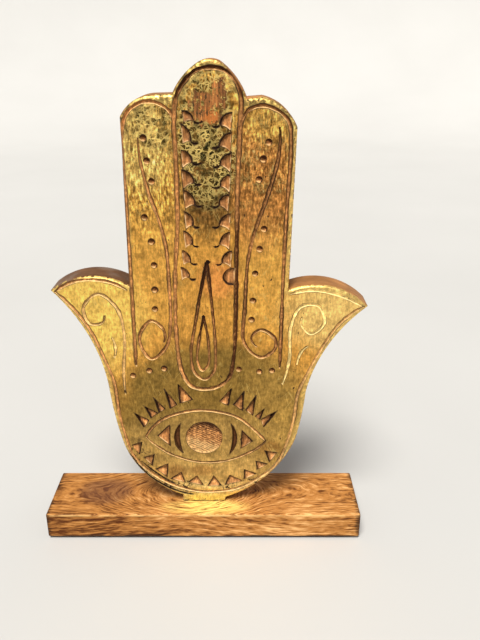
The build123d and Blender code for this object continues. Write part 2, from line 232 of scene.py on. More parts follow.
# %% Strokes of the fingers
# Arches on the side fingers
stroke([(-51.5, 136), (-51.2, 180), (-51, 250), (-50.5, 292), (-47, 301.5), (-40, 306.5), (-35.5, 307.6),
        (-30, 307), (-25, 304.7), (-22, 302), (-20.3, 298)], 2.2, 1.8, 0.54)
stroke([(46.8, 134), (47.2, 160), (47.5, 190), (48.6, 235), (50.4, 284), (49, 295.5), (46, 299.5),
        (42, 302.5), (33.5, 305.3), (27, 304), (24, 302), (20, 295), (18.8, 288)], 2.2, 1.8, 0.68)
# Long loop of the middle finger
stroke([(2.3, 326.3), (10, 325), (15, 321.5), (18, 317.5), (20.4, 309), (20, 297), (18.6, 270), (17.6, 225),
        (16.6, 165), (15.5, 143), (12, 126), (5, 119.5), (-5, 117), (-14, 119.5), (-20, 130), (-23, 155),
        (-22.3, 200), (-19.6, 235), (-19.2, 275), (-19.4, 300), (-17, 312), (-10, 321.5), (-5, 325)],
       2.6, 2.0, (0.54, 0.82, 0.82), closed=True)
# Lines that curl at the fingers' feet
stroke([(-41.5, 287), (-41, 275), (-37, 255), (-31, 236), (-27.6, 220), (-26.5, 195), (-26.8, 165),
        (-30.5, 149), (-41, 140.3), (-48, 153), (-46.5, 161), (-39.5, 168.5), (-31.5, 162), (-31.5, 153)],
       2.1, 1.6, 0.56, taper=16)
stroke([(43.3, 292), (43.2, 277), (37, 253), (28.5, 228), (24.8, 210), (22.9, 178), (22.7, 152),
        (33.5, 141.6), (42.3, 146.5), (44, 151.5), (42.5, 156.5), (33.5, 162), (27.3, 156.5),
        (29.8, 150.5)], 2.2, 1.6, 0.72, taper=16)
# Teardrop in the palm
stroke([(-1.8, 208.5), (-6.5, 187), (-10.5, 165), (-13.6, 145), (-11.5, 130), (-4.8, 124.7), (1.8, 131),
        (3, 148), (1.5, 175), (-1.6, 208)], 2.0, 1.7, (0.56, 0.92), taper=0)
stroke([(-4.6, 170.5), (-8.5, 151), (-9.4, 139), (-6.3, 131.5), (-2.2, 136), (-1.5, 150), (-4.4, 170)],
       1.7, 1.4, (0.50, 0.90), taper=0)
# Almond round the eye
stroke([(-48, 78.5), (-40, 89), (-30, 95.5), (-10, 100.2), (10, 97.5), (20, 93), (30, 84), (38, 75)],
       1.8, 1.2, 0.58)
stroke([(38, 75), (30, 67.5), (10, 58.3), (-10, 57), (-30, 63.5), (-40, 70.5), (-48, 78.5)], 1.4, 1.0, 0.64)
print("strokes:", len(STROKES), "with", sum(len(row[0]) for row in STROKES), "points")

# %% [markdown]
# ## Knife-cut chips
#
# A chip is taken out with a knife. One or two stop cuts go in steeply, then a flat cut rises from their
# foot to the surface, so a chip is the lowest of a few slopes. Each chip below lists its three corners, how
# steeply the wood falls inward from each edge, its stain, and how far an edge bulges into an arc. A scallop
# on the middle finger is such a chip under a curved stop cut, and ends in a short dark tick of the tool.

# %% Chips round the eye and along the bowl
CHIPS = []
STEEP, MIDDLING, SHALLOW = 2.2, 0.65, 0.40
LASH_STAIN, TOOTH_STAIN, SCALLOP_STAIN, CUP_STAIN, DARK_STAIN = 1.0, 0.84, 1.14, 1.08, 1.3


def chip(corners, slopes, stain, bulges=(0, 0, 0)):
    """Keeps a chip: corners in order, slope and outward bulge of the edge from each, and its stain."""
    corners = np.array(corners, float)
    first, second = corners[1] - corners[0], corners[2] - corners[0]
    clockwise = first[0] * second[1] - first[1] * second[0] < 0
    order = [0, 1, 2] if clockwise else [0, 2, 1]
    edges = [(corners[order[k]], corners[order[(k + 1) % 3]]) for k in range(3)]
    keep = [0, 1, 2] if clockwise else [2, 1, 0]
    CHIPS.append((edges, [slopes[k] for k in keep], [bulges[k] for k in keep], stain))


# Lashes: tip, then the two ends of the base
LASHES = [
    [(-55.5, 98.5), (-45, 92.3), (-49, 86)], [(-48, 104), (-38.5, 98), (-43.5, 94)],
    [(-41, 110.5), (-33, 101.5), (-37.5, 98.5)], [(-33, 117), (-24.5, 105), (-29.5, 102)],
    [(-23.8, 122), (-13.5, 109), (-22.5, 106)], [(14.5, 119), (5, 107.5), (11.5, 104)],
    [(22.5, 115.5), (15, 105), (21.5, 100)], [(31, 112.5), (23.5, 100.5), (29, 95.5)],
    [(37.5, 102.5), (30, 95.5), (34, 92.5)], [(46, 100), (34.5, 93), (36.5, 86)],
]
# Teeth: the tip that points at the eye, then the two ends of the base on the border
TEETH = [
    [(-50.5, 74.5), (-58.5, 71.5), (-53, 63)], [(-42.5, 63.5), (-50.5, 61), (-44.5, 54)],
    [(-32.8, 55.5), (-42, 51), (-34, 44)], [(-23.5, 48), (-31.5, 42.5), (-20.5, 39)],
    [(-12, 45.5), (-18.5, 39.5), (-7, 36.5)], [(0.3, 45), (-4.5, 36), (6, 36.3)],
    [(12, 46), (8.5, 37), (22, 40.5)], [(22.5, 51), (22.5, 42), (32, 47)],
    [(31, 58), (32, 50.5), (40, 55.5)], [(37.5, 67), (46.5, 65.3), (41, 57)],
]
# Corners of the eye: outer tip, upper and lower end of the inner side, and stain
EYE_CORNERS = [
    ([(-39.5, 79.5), (-30, 89), (-30.5, 71)], 1.07),
    ([(28.8, 75), (20.8, 84.5), (20, 68.5)], 1.14),
]
for corners in LASHES:
    chip(corners, [STEEP, SHALLOW, STEEP], LASH_STAIN)
for corners in TEETH:
    chip(corners, [STEEP, SHALLOW, STEEP], TOOTH_STAIN)
for corners, stain in EYE_CORNERS:
    chip(corners, [0.75, 0.75, 0.45], stain)
print("chips round the eye:", len(CHIPS))

# %% Scallops down the middle finger
# Outer top and inner tip of each thumbnail cut, from the fingertip down
LEFT_SCALLOPS = [
    ((-14.5, 302.5), (-4.5, 295.5)), ((-15.5, 295.0), (-6.3, 283.6)), ((-16.0, 280.0), (-6.0, 271.3)),
    ((-16.0, 268.0), (-5.0, 259.0)), ((-15.2, 255.5), (-4.8, 245.4)), ((-15.2, 242.5), (-6.4, 232.2)),
    ((-16.0, 230.0), (-7.0, 219.8)), ((-17.5, 217.5), (-8.6, 208.0)), ((-18.8, 206.3), (-9.8, 197.6)),
]
RIGHT_SCALLOPS = [
    ((15.0, 301.5), (4.2, 293.2)), ((14.7, 290.0), (3.8, 281.0)), ((14.5, 278.0), (4.0, 269.6)),
    ((14.0, 265.0), (4.0, 257.0)), ((13.0, 253.0), (3.2, 245.0)), ((13.8, 241.0), (3.2, 232.0)),
    ((13.6, 229.5), (3.2, 219.6)), ((14.5, 217.0), (4.6, 207.6)),
]
# The lowest cut of the right column has no tick: its top, its inner end and its foot
LAST_SCALLOP = [(16.2, 205.0), (8.4, 198.6), (15.6, 194.0)]
LEFT_FOOT, RIGHT_FOOT = 197.0, 205.6
SCALLOP_FALL, SCALLOP_RIDGE, SCALLOP_TICK = 12.0, 0.6, 3.2
for side, column, last_foot in ((-1, LEFT_SCALLOPS, LEFT_FOOT), (1, RIGHT_SCALLOPS, RIGHT_FOOT)):
    feet = [top[1] + SCALLOP_RIDGE for top, _ in column[1:]] + [last_foot]
    for (top, tip), foot in zip(column, feet):
        inner = (tip[0] + side * SCALLOP_TICK, tip[1] + 0.9)
        low = (top[0] - side * 0.9, max(foot, top[1] - SCALLOP_FALL))
        chip([top, inner, low], [STEEP, SHALLOW, MIDDLING], SCALLOP_STAIN, [2.2, -1.0, 0])
        tick = [inner, (tip[0] + side * 1.8, tip[1] - 0.1), (tip[0] - side * 0.4, tip[1] + 0.1)]
        stroke(tick, 1.5, 1.0, DARK_STAIN, taper=3)
chip(LAST_SCALLOP, [STEEP, 1.2, SHALLOW], CUP_STAIN, [2.6, 1.8, 0])
print("chips:", len(CHIPS), "strokes:", len(STROKES))

# %% [markdown]
# ## Drilled dots, the iris and its crescents
#
# Dots are touched in with a round-nosed drill, so they are small cups. The iris is a sunk disc whose floor
# was stabbed all over with a small chisel. The crescents beside it are slim cuts between two arcs.

# %% Cups and crescents
DOTS = np.array([
    (-38.3, 286.8), (-37.0, 273.4), (-34.7, 261.0), (-40.0, 238.6), (-36.6, 222.8), (-35.7, 207.4),
    (-36.0, 190.4), (-36.5, 177.0), (37.0, 284.4), (33.8, 274.4), (31.3, 262.2), (34.8, 231.2),
    (32.2, 218.0), (29.5, 201.7), (28.2, 183.0), (27.3, 169.5), (-54.0, 127.8), (-42.5, 131.4),
    (-32.4, 133.0), (18.8, 132.5), (33.0, 130.8), (41.7, 131.6),
])
DOT_RADIUS, DOT_DEPTH, DOT_STAIN = 2.05, 2.0, 0.85
IRIS = np.array([-6.0, 77.7])
IRIS_RADIUS, IRIS_DEPTH, IRIS_WALL, IRIS_STAIN = 13.0, 1.7, 0.5, 0.82
# The way across the slanting rows of stabs on the iris
STAB_X, STAB_Z = 0.42, 0.91
# Upper end, lower end, bulge of the inner and of the outer arc
CRESCENTS = [((-22.5, 89.8), (-21.6, 65.0), 1.3, 5.7), ((13.2, 89.4), (11.4, 63.0), 1.7, 5.4)]
print("dots:", len(DOTS), "crescents:", len(CRESCENTS))

# %% [markdown]
# ## One field for all the carving
#
# A carved front is a height field: for each point of the drawing, how deep is the wood cut away there, and
# how far is the nearest cut's edge? The edge distance is negative inside a cut. Three more numbers serve
# the finish: the distance from a stop cut, the stain, and which wall of the groove the point is on, because
# the upper wall gets painted shade and the lower one a painted highlight. Each kind of cut answers
# with whole arrays, and the deepest cut and the nearest edge win.

# %% Distances
# Distances are followed out to FAR, and a point within ON_EDGE of a chip counts as in it
FAR, ON_EDGE = 6.0, 0.15
# A groove's section falls with this power, and the painted shade on the upper wall of a groove stained beyond
# DARK_FROM grows wider
GROOVE_POWER, DARK_FROM, DARK_SPAN, DARK_GAIN = 1.3, 0.7, 0.4, 1.5
# Edges steeper than STOP_SLOPE are stop cuts
STOP_SLOPE, DEEPEST_CHIP = 0.7, 3.0
CRESCENT_SLOPE, CRESCENT_DEPTH = 2.2, 2.6
# The way on the drawing from a groove's middle to its upper wall, which gets painted shade while the lower
# wall gets a painted highlight, and the number of a point on no wall
UPPER_WALL = np.array([0.30, 0.95])
NO_WALL = 2.0


def to_line(points, line):
    """Least distance from points to a polyline, at most FAR, its nearest step, and the way from there."""
    gap = np.full(len(points), FAR)
    step = np.zeros(len(points), int)
    way = np.zeros((len(points), 2))
    inside = ((points > line.min(0) - FAR) & (points < line.max(0) + FAR)).all(1)
    near = np.flatnonzero(inside)
    start, run = line[:-1], np.diff(line, axis=0)
    square = (run**2).sum(1)
    for block in np.array_split(near, max(1, len(near) * len(run) // 1_500_000)):
        offset = points[block, None, :] - start
        share = np.clip((offset * run).sum(2) / square, 0, 1)
        offset = offset - share[..., None] * run
        away = np.hypot(*np.moveaxis(offset, 2, 0))
        best = away.argmin(1)
        row = np.arange(len(block))
        gap[block], step[block], way[block] = np.minimum(FAR, away[row, best]), best, offset[row, best]
    return gap, step, way


def arc_circle(start, end, bulge):
    """Centre and radius of the circle that an arc lies on."""
    start, end = np.array(start, float), np.array(end, float)
    chord = end - start
    length = np.hypot(*chord)
    radius = (length**2 / 4 + bulge**2) / (2 * bulge)
    left = np.array([-chord[1], chord[0]]) / length
    return (start + end) / 2 + left * (bulge - radius), abs(radius)


def inside_edge(points, start, end, bulge):
    """Signed distance inwards from one clockwise edge: straight, bulging out or hollowed in."""
    chord = end - start
    away = points - start
    straight = (away[:, 0] * chord[1] - away[:, 1] * chord[0]) / np.hypot(*chord)
    if not bulge:
        return straight
    centre, radius = arc_circle(start, end, bulge)
    from_centre = np.hypot(*(points - centre).T)
    return radius - from_centre if bulge > 0 else from_centre - radius


def stabbed(points):
    """Chisel stabs on the iris: slanting rows of short ridges, stronger in the upper part."""
    x, z = (points - IRIS).T
    across = STAB_X * x + STAB_Z * z + 0.5 * np.sin(x * 0.5) + 0.3 * np.sin(z * 0.9 + x * 0.4)
    along = -STAB_Z * x + STAB_X * z
    rows = np.sin(2 * np.pi * across / 1.75)
    breaks = np.sin(2 * np.pi * along / 3.1 + 2.3 * np.sin(across * 0.8) + 1.1 * np.sin(along * 0.5))
    return (0.22 * rows * (0.55 + 0.45 * breaks) + 0.08 * breaks) * np.clip(0.80 + z / 16, 0.30, 1.0)


class Carving:
    """Five numbers a point: depth, distance to a cut's edge and to a stop cut, stain, and how low on a wall,
    for painted shade and highlight.
    """

    def __init__(self, points):
        self.depth = np.zeros(len(points))
        self.edge = np.full(len(points), FAR)
        self.stop = np.full(len(points), FAR)
        self.stain = np.zeros(len(points))
        self.low = np.full(len(points), NO_WALL)

    def cut(self, edge, depth, stain, low=NO_WALL):
        """Adds one cut: the deeper depth counts, and the nearer edge brings its stain and its wall."""
        self.stain = np.where(edge < self.edge, stain, self.stain)
        self.low = np.where(edge < self.edge, np.clip(low, -1, NO_WALL), self.low)
        self.edge = np.minimum(self.edge, edge)
        self.depth = np.maximum(self.depth, depth)


def carve(points):
    """All the carving at some points: grooves fall to their middle, chips to a stop cut, dots to a cup."""
    wood = Carving(points)
    for line, half, deep, stain in STROKES:
        gap, step, way = to_line(points, line)
        width = half[step]
        fall = deep * np.clip(1 - (gap / width)**GROOVE_POWER, 0, 1)
        # The last number of a cut places a point between the upper wall, which gets painted shade, and the
        # lower one, which gets a painted highlight; a well stained groove gets a wider shaded wall
        dark = DARK_GAIN * np.clip(stain[step] - DARK_FROM, 0, DARK_SPAN)
        wood.cut(gap - width, fall, stain[step], -(way @ UPPER_WALL) / width - dark)
    for edges, slopes, bulges, stain in CHIPS:
        walls = [inside_edge(points, *ends, bulge) for ends, bulge in zip(edges, bulges)]
        fall = np.min([wall * slope for wall, slope in zip(walls, slopes)], axis=0)
        inside = np.min(walls, axis=0)
        wood.cut(-inside, np.clip(fall, 0, DEEPEST_CHIP), stain)
        steep = np.min([wall for wall, slope in zip(walls, slopes) if slope > STOP_SLOPE], axis=0)
        wood.stop = np.where(inside > -ON_EDGE, np.minimum(wood.stop, steep), wood.stop)
    for upper, lower, inner, outer in CRESCENTS:
        side = np.sign(upper[0] - IRIS[0])
        ends = (np.array(upper), np.array(lower)) if side > 0 else (np.array(lower), np.array(upper))
        wall = np.minimum(inside_edge(points, *ends, outer), -inside_edge(points, *ends, inner))
        wood.cut(-wall, np.clip(CRESCENT_SLOPE * wall, 0, CRESCENT_DEPTH), DARK_STAIN)
    for dot in DOTS:
        way = points - dot
        away = np.hypot(*way.T)
        fall = DOT_DEPTH * np.clip(1 - (away / DOT_RADIUS)**2, 0, 1)
        # Painted shade in the upper part of a cup and a painted highlight in its lower part
        wood.cut(away - DOT_RADIUS, fall, DOT_STAIN, -(way @ UPPER_WALL) / DOT_RADIUS)
    way = points - IRIS
    inside = IRIS_RADIUS - np.hypot(*way.T)
    fall = (IRIS_DEPTH + stabbed(points)) * np.clip(inside / IRIS_WALL, 0, 1)
    # Painted shade on the upper part of the iris and a painted highlight on its lower part
    wood.cut(-inside, fall, IRIS_STAIN, 0.40 - 0.7 * (way @ UPPER_WALL) / IRIS_RADIUS)
    return wood


COARSE_STEP = 1.6


def from_rim(points):
    """Distance to the sawn outline, negative outside it, as the count of crossings on a ray tells."""
    closed = np.concatenate([outline_loop(COARSE_STEP), OUTLINE_ROWS[0][:1]])
    start, end = closed[:-1], closed[1:]
    result = np.empty(len(points))
    for block in np.array_split(np.arange(len(points)), len(points) // 4000 + 1):
        offset = points[block, None, :] - start
        run = end - start
        share = np.clip((offset * run).sum(2) / (run**2).sum(1), 0, 1)
        away = np.hypot(*np.moveaxis(offset - share[..., None] * run, 2, 0)).min(1)
        spans = (start[:, 1] > points[block, None, 1]) != (end[:, 1] > points[block, None, 1])
        rise = np.where(run[:, 1] == 0, 1e-9, run[:, 1])
        right = points[block, None, 0] < start[:, 0] + offset[..., 1] * run[:, 0] / rise
        result[block] = np.where((spans & right).sum(1) % 2, away, -away)
    return result


print("deepest stroke:", max(row[2] for row in STROKES), "mm")

# %% [markdown]
# ## Where the mesh needs points
#
# A plain grid fine enough for the grooves would waste most of its points on flat leaf, and it would cut
# every slanting groove into stairs. Here the points follow the carving instead. Some lie on the
# edges of the cuts, and no other point comes close to those, so every edge stays a clean line. The rest
# fill in: rails inside the grooves, a fine grid in chips and in the iris, rings along the rim, and a loose
# grid on the flat.

# %% Choose the points
# Steps of the loose grid, the fine grid and the iris grid
GRID, FINE, IRIS_FINE = 1.35, 0.55, 0.45
# Cells in which one point stays: of those on edges, of the filling, and of all in the end
EDGE_CELL, FILLING_CELL, LAST_CELL = 0.3, 0.32, 0.22
# How near an edge a point counts as on it, how far the filling and the loose grid stay off edges,
# and how far all of them stay off the rim
TRUE_EDGE, CLEAR, LOOSE_CLEAR, RIM_CLEAR = 0.1, 0.25, 0.75, 0.32
# How far outside a groove's edge its outer rails run, and outside a chip its grid
OUTER_RAIL, CHIP_MARGIN = 0.45, 0.6
DOT_RINGS, RIM_RINGS = (0.01, 0.35, 0.7, 1.25), (0.5, 1.05, 1.7, 2.5)


def grid_in(low, high, step):
    """A rectangular grid of points between two corners."""
    x = np.arange(low[0], high[0], step)
    z = np.arange(low[1], high[1], step)
    return np.stack(np.meshgrid(x, z), -1).reshape(-1, 2)


def rails(line, half, shares):
    """Points beside a line: the line moved sideways by shares of its half width."""
    along = np.gradient(line, axis=0)
    side = np.stack([-along[:, 1], along[:, 0]], 1) / np.hypot(*along.T)[:, None]
    return np.concatenate([line + side * (half * share)[:, None] for share in shares])


def ring_points(centre, radius, step=0.6):
    """Points on a circle at about the given step."""
    turn = np.linspace(0, 2 * np.pi, max(6, round(2 * np.pi * radius / step)), endpoint=False)
    return centre + radius * np.stack([np.cos(turn), np.sin(turn)], 1)


def thinned(points, cell):
    """One point for each cell of a square raster: of the points that share a cell, the first stays."""
    _, first = np.unique(np.round(points / cell).astype(int), axis=0, return_index=True)
    return points[np.sort(first)]


chip_rims = [[arc(*ends, bulge, FINE) for ends, bulge in zip(edges, bulges)] for edges, _, bulges, _ in CHIPS]
chip_rims += [[arc(upper, lower, bulge if upper[0] > IRIS[0] else -bulge, FINE) for bulge in (inner, outer)]
              for upper, lower, inner, outer in CRESCENTS]
chip_rims = [np.concatenate(rims) for rims in chip_rims]
on_edge = [rails(line, half, (-1, 1)) for line, half, _, _ in STROKES] + chip_rims
on_edge += [ring_points(dot, DOT_RADIUS) for dot in DOTS] + [ring_points(IRIS, IRIS_RADIUS)]
on_edge = thinned(np.concatenate(on_edge), EDGE_CELL)
on_edge = on_edge[np.abs(carve(on_edge).edge) < TRUE_EDGE]
filling = [rails(line, half, (-0.5, 0, 0.5)) for line, half, _, _ in STROKES]
filling += [rails(line, half + OUTER_RAIL, (-1, 1)) for line, half, _, _ in STROKES]
filling += [grid_in(rim.min(0) - CHIP_MARGIN, rim.max(0) + CHIP_MARGIN, FINE) for rim in chip_rims]
filling += [ring_points(dot, DOT_RADIUS * k) for dot in DOTS for k in DOT_RINGS]
iris_grid = grid_in(IRIS - IRIS_RADIUS, IRIS + IRIS_RADIUS, IRIS_FINE)
filling.append(iris_grid[np.hypot(*(iris_grid - IRIS).T) < IRIS_RADIUS - 1.6 * IRIS_WALL])
filling += [ring_points(IRIS, IRIS_RADIUS + k * IRIS_WALL) for k in (-1, 1)]
print(f"points on edges: {len(on_edge)}, filling: {sum(map(len, filling))}")

# %% Gather and triangulate
inward = np.roll(rim_loop, -1, 0) - np.roll(rim_loop, 1, 0)
inward = np.stack([inward[:, 1], -inward[:, 0]], 1) / np.hypot(*inward.T)[:, None]
rim_rings = np.concatenate([rim_loop + inward * gap for gap in RIM_RINGS])
filling = thinned(np.concatenate(filling + [rim_rings]), FILLING_CELL)
filling = filling[np.abs(carve(filling).edge) > CLEAR]
loose = grid_in(rim_loop.min(0), rim_loop.max(0), GRID)
free = np.concatenate([on_edge, filling, loose[carve(loose).edge > LOOSE_CLEAR]])
free = free[from_rim(free) > RIM_CLEAR]
points = np.concatenate([rim_loop, thinned(free, LAST_CELL)])
loop_count = len(rim_loop)
loop_edges = np.stack([np.arange(loop_count), np.roll(np.arange(loop_count), -1)], 1)
flat = delaunay_2d_cdt(points.tolist(), loop_edges.tolist(), [], 1, 1e-5)
points = np.array([tuple(corner) for corner in flat[0]])
triangles = np.array(flat[2])
a, b, c = (points[triangles[:, k]] for k in range(3))
turn = (b[:, 0] - a[:, 0]) * (c[:, 1] - a[:, 1]) - (b[:, 1] - a[:, 1]) * (c[:, 0] - a[:, 0])
triangles[turn < 0] = triangles[turn < 0][:, ::-1]
print(f"front: {len(points)} points, {len(triangles)} triangles")

# %% [markdown]
# ## The front's relief
#
# Besides the carving, the front is not quite flat. It was planed by hand, so it waves by about a tenth of a
# millimetre, and its sanded rim falls away in a soft quarter round.

# %% Heights of the front
RIM_ROUND, RIM_SHARE, FACE_SUNK = 2.3, 0.75, 0.12
DENT_WIDTH, DENT_DEPTH = 3.0, 0.12
wood = carve(points)
rim_gap = from_rim(points)
rim_gap[:loop_count] = 0.0


def softened_rim(gap, place):
    """Fall of a rounded rim: a quarter ellipse, RIM_ROUND wide, RIM_SHARE of that deep, and dented."""
    x, z = place.T
    dents = 0.10 * np.sin(x * 0.83 + z * 0.61) * np.sin(z * 0.97 - x * 0.31)
    dents += 0.06 * np.sin(x * 2.3 - z * 1.9)
    inside = np.clip(gap / RIM_ROUND, 0, 1)
    fall = RIM_SHARE * RIM_ROUND * (1 - np.sqrt(np.clip(1 - (1 - inside)**2, 0, 1)))
    return fall + np.clip(1 - gap / DENT_WIDTH, 0, 1) * (DENT_DEPTH + dents)


def planed(place):
    """Slow waves of a hand-planed face: a sum of long sine waves across and along the board."""
    x, z = place.T
    return 0.07 * np.sin(x / 9.0 + 0.6 * np.sin(z / 31.0)) + 0.05 * np.sin(z / 17.0 + x / 40.0)


face_fall = softened_rim(rim_gap, points) + planed(points) + FACE_SUNK
wood_y = BOARD_FRONT_Y + face_fall + wood.depth
in_iris = np.hypot(*(points - IRIS).T) < IRIS_RADIUS - IRIS_WALL
stabs = np.where(in_iris, np.clip(0.6 + 1.2 * stabbed(points), 0.2, 1), 0)
print(f"deepest cut {wood.depth.max():.2f} mm, rim falls {face_fall[:loop_count].mean():.2f} mm")

# %% [markdown]
# ## The carved board
#
# The board is one closed skin: the carved front, a wall straight back from the rim, a small round at the
# back's edge, and a flat back. The wall reuses the rim's points ring by ring, so nothing needs stitching.

# %% Build the board
def new_piece(name, corners, faces, smooth, **point_values):
    """Makes a mesh object from corners in metres and faces, with named numbers kept at its points."""
    mesh = bpy.data.meshes.new(name)
    mesh.from_pydata(corners.tolist(), [], faces)
    mesh.polygons.foreach_set("use_smooth", smooth)
    for key, values in point_values.items():
        mesh.attributes.new(key, "FLOAT", "POINT").data.foreach_set("value", np.asarray(values, np.float32))
    mesh.validate()
    piece = bpy.data.objects.new(name, mesh)
    bpy.context.scene.collection.objects.link(piece)
    return piece


def in_space(place, y):
    """Carries drawing points into the scene, in metres: X from the hand's axis, Y as given, Z as height."""
    return np.stack([place[:, 0] + HAND_AXIS_X, y, place[:, 1]], 1) * MM


def wall_faces(ring, next_ring):
    """Quads between two rings of point numbers that run clockwise as seen from the front, facing outward."""
    return np.stack([ring, np.roll(ring, -1), np.roll(next_ring, -1), next_ring], 1)


BACK_ROUND, ROUND_MIDDLE, EASED_LENGTH = 0.9, 0.27, 3.0
SIDE_WIDTH = 1.2
# How far in and how far back each ring of the wall lies, from front to back
ring_depths = [(0.0, -6.0), (0.0, 0.0), (0.0, 6.0), (0.0, BOARD_BACK_Y - BACK_ROUND),
               (ROUND_MIDDLE, BOARD_BACK_Y - ROUND_MIDDLE), (BACK_ROUND, BOARD_BACK_Y)]
# The round dies out at the corners, where a ring moved inward by its full width would cross itself
from_corner = np.min([np.hypot(*(rim_loop - corner).T) for corner, _ in OUTLINE_ROWS], 0)
eased = inward * np.clip(from_corner / EASED_LENGTH, 0, 1)[:, None]
wall_rings = [in_space(rim_loop + eased * gap, np.full(loop_count, y)) for gap, y in ring_depths]
corners = np.concatenate([in_space(points, wood_y)] + wall_rings)
ring_starts = [0] + [len(points) + k * loop_count for k in range(len(wall_rings))]
rings = [start + np.arange(loop_count) for start in ring_starts]
sides = np.concatenate([wall_faces(near, far) for near, far in zip(rings, rings[1:])])
board_faces = triangles.tolist() + sides.tolist() + [rings[-1].tolist()]
# Numbers for the finish: one for each point of the front, and a single one for the walls and the back
front_and_rest = {
    "cut_edge": (wood.edge, FAR),
    "stop_gap": (wood.stop, FAR),
    "stain": (wood.stain, 0.0),
    "stabs": (stabs, 0.0),
    "low_wall": (wood.low, NO_WALL),
    "side_wall": (np.clip(1 - rim_gap / SIDE_WIDTH, 0, 1), 1.0),
}
beyond = len(corners) - len(points)
board = new_piece(
    "carved_board", corners, board_faces, [True] * (len(board_faces) - 1) + [False],
    **{key: np.concatenate([front, np.full(beyond, rest)]) for key, (front, rest) in front_and_rest.items()},
)
print(f"{board.name}: {len(triangles) + 2 * len(sides) + loop_count - 2} triangles")

# %% [markdown]
# ## The metal leaf
#
# The leaf is a thin sheet on the board, cut through by every tool mark and rubbed off along the rim. Its
# sheet is made from the same triangles, only those that no cut has touched, lifted by its thickness and
# closed at its edges. Towards its edges it is rubbed thinner, so no step shows there.

# %% Build the leaf
def flaked(place):
    """How far the leaf has come off the rim: a mean width with sine waves of mixed lengths both ways."""
    x, z = place.T
    return -0.10 + 0.55 * np.sin(x * 0.9 + 2.0 * np.sin(z * 0.41)) * np.sin(z * 0.7 + 1.7 * np.sin(x * 0.57))


LEAF_THICKNESS, RUBBED_THICKNESS, RUBBED_WIDTH = 0.10, 0.02, 2.0
# The leaf hangs over the cuts a little, and lies LEAF_LIFT before the wood, so that no two faces coincide
OVERHANG, LEAST_STRIP, LEAF_LIFT, RIM_FAR = 0.13, 0.75, 0.02, 12.0


def open_edges(faces):
    """The sides of triangles that no neighbour shares, as pairs of point numbers."""
    pairs = np.concatenate([faces[:, [0, 1]], faces[:, [1, 2]], faces[:, [2, 0]]])
    code = pairs[:, 0] * len(points) + pairs[:, 1]
    return pairs[~np.isin(code, pairs[:, 1] * len(points) + pairs[:, 0])]


kept = (wood.edge > -OVERHANG) & (rim_gap > flaked(points)) & (wood.edge + rim_gap > LEAST_STRIP)
leaf_triangles = triangles[kept[triangles].all(1)]
# Where two parts of the sheet meet in one point only, the triangles at that point go
for _ in range(4):
    starts, times = np.unique(open_edges(leaf_triangles)[:, 0], return_counts=True)
    leaf_triangles = leaf_triangles[~np.isin(leaf_triangles, starts[times > 1]).any(1)]
# A triangle that shares no point with another is a crumb
uses = np.bincount(leaf_triangles.ravel())
leaf_triangles = leaf_triangles[(uses[leaf_triangles] > 1).any(1)]
used, compact = np.unique(leaf_triangles, return_inverse=True)
leaf_triangles = compact.reshape(-1, 3)
leaf_count = len(used)
border = open_edges(leaf_triangles)
leaf_sides = np.stack([border[:, 1], border[:, 0], border[:, 0] + leaf_count, border[:, 1] + leaf_count], 1)
leaf_base = BOARD_FRONT_Y + face_fall[used] - LEAF_LIFT
rubbed = np.clip(np.minimum(wood.edge, rim_gap)[used] / RUBBED_WIDTH, 0, 1)
leaf_thickness = RUBBED_THICKNESS + (LEAF_THICKNESS - RUBBED_THICKNESS) * rubbed
leaf_corners = np.concatenate([
    in_space(points[used], leaf_base - leaf_thickness),
    in_space(points[used], leaf_base),
])
leaf_faces = leaf_triangles.tolist() + (leaf_triangles[:, ::-1] + leaf_count).tolist() + leaf_sides.tolist()
leaf = new_piece(
    "front_leaf", leaf_corners, leaf_faces, [True] * len(leaf_faces),
    cut_edge=np.tile(wood.edge[used], 2), rim_gap=np.tile(np.minimum(rim_gap[used], RIM_FAR), 2),
)
# Normals come from the front sheet alone, so that the thin sides do not tilt the light along the cuts
a, b, c = (leaf_corners[leaf_triangles[:, k]] for k in range(3))
facing = np.zeros((leaf_count, 3))
np.add.at(facing, leaf_triangles.ravel(), np.repeat(np.cross(b - a, c - a), 3, 0))
facing /= np.linalg.norm(facing, axis=1)[:, None]
leaf.data.normals_split_custom_set_from_vertices(np.concatenate([facing, -facing]).tolist())
print(f"{leaf.name}: {2 * len(leaf_triangles) + 2 * len(border)} triangles")

# %% [markdown]
# ## Short words for shader nodes
#
# A finish is a tree of nodes. The small class below keeps the trees readable: each word adds a node or a
# few, takes numbers or other nodes' outputs, and gives its own output back. Colours are written as they
# look on a screen and turned into the light values that Blender works with.

# %% Node words
def seen(red, green, blue):
    """Light values of a screen colour from 0 to 255: the standard curve, a power of 2.4 above its foot."""
    share = np.array([red, green, blue]) / 255
    light = np.where(share <= 0.04045, share / 12.92, ((share + 0.055) / 1.055)**2.4)
    return (*light.tolist(), 1.0)


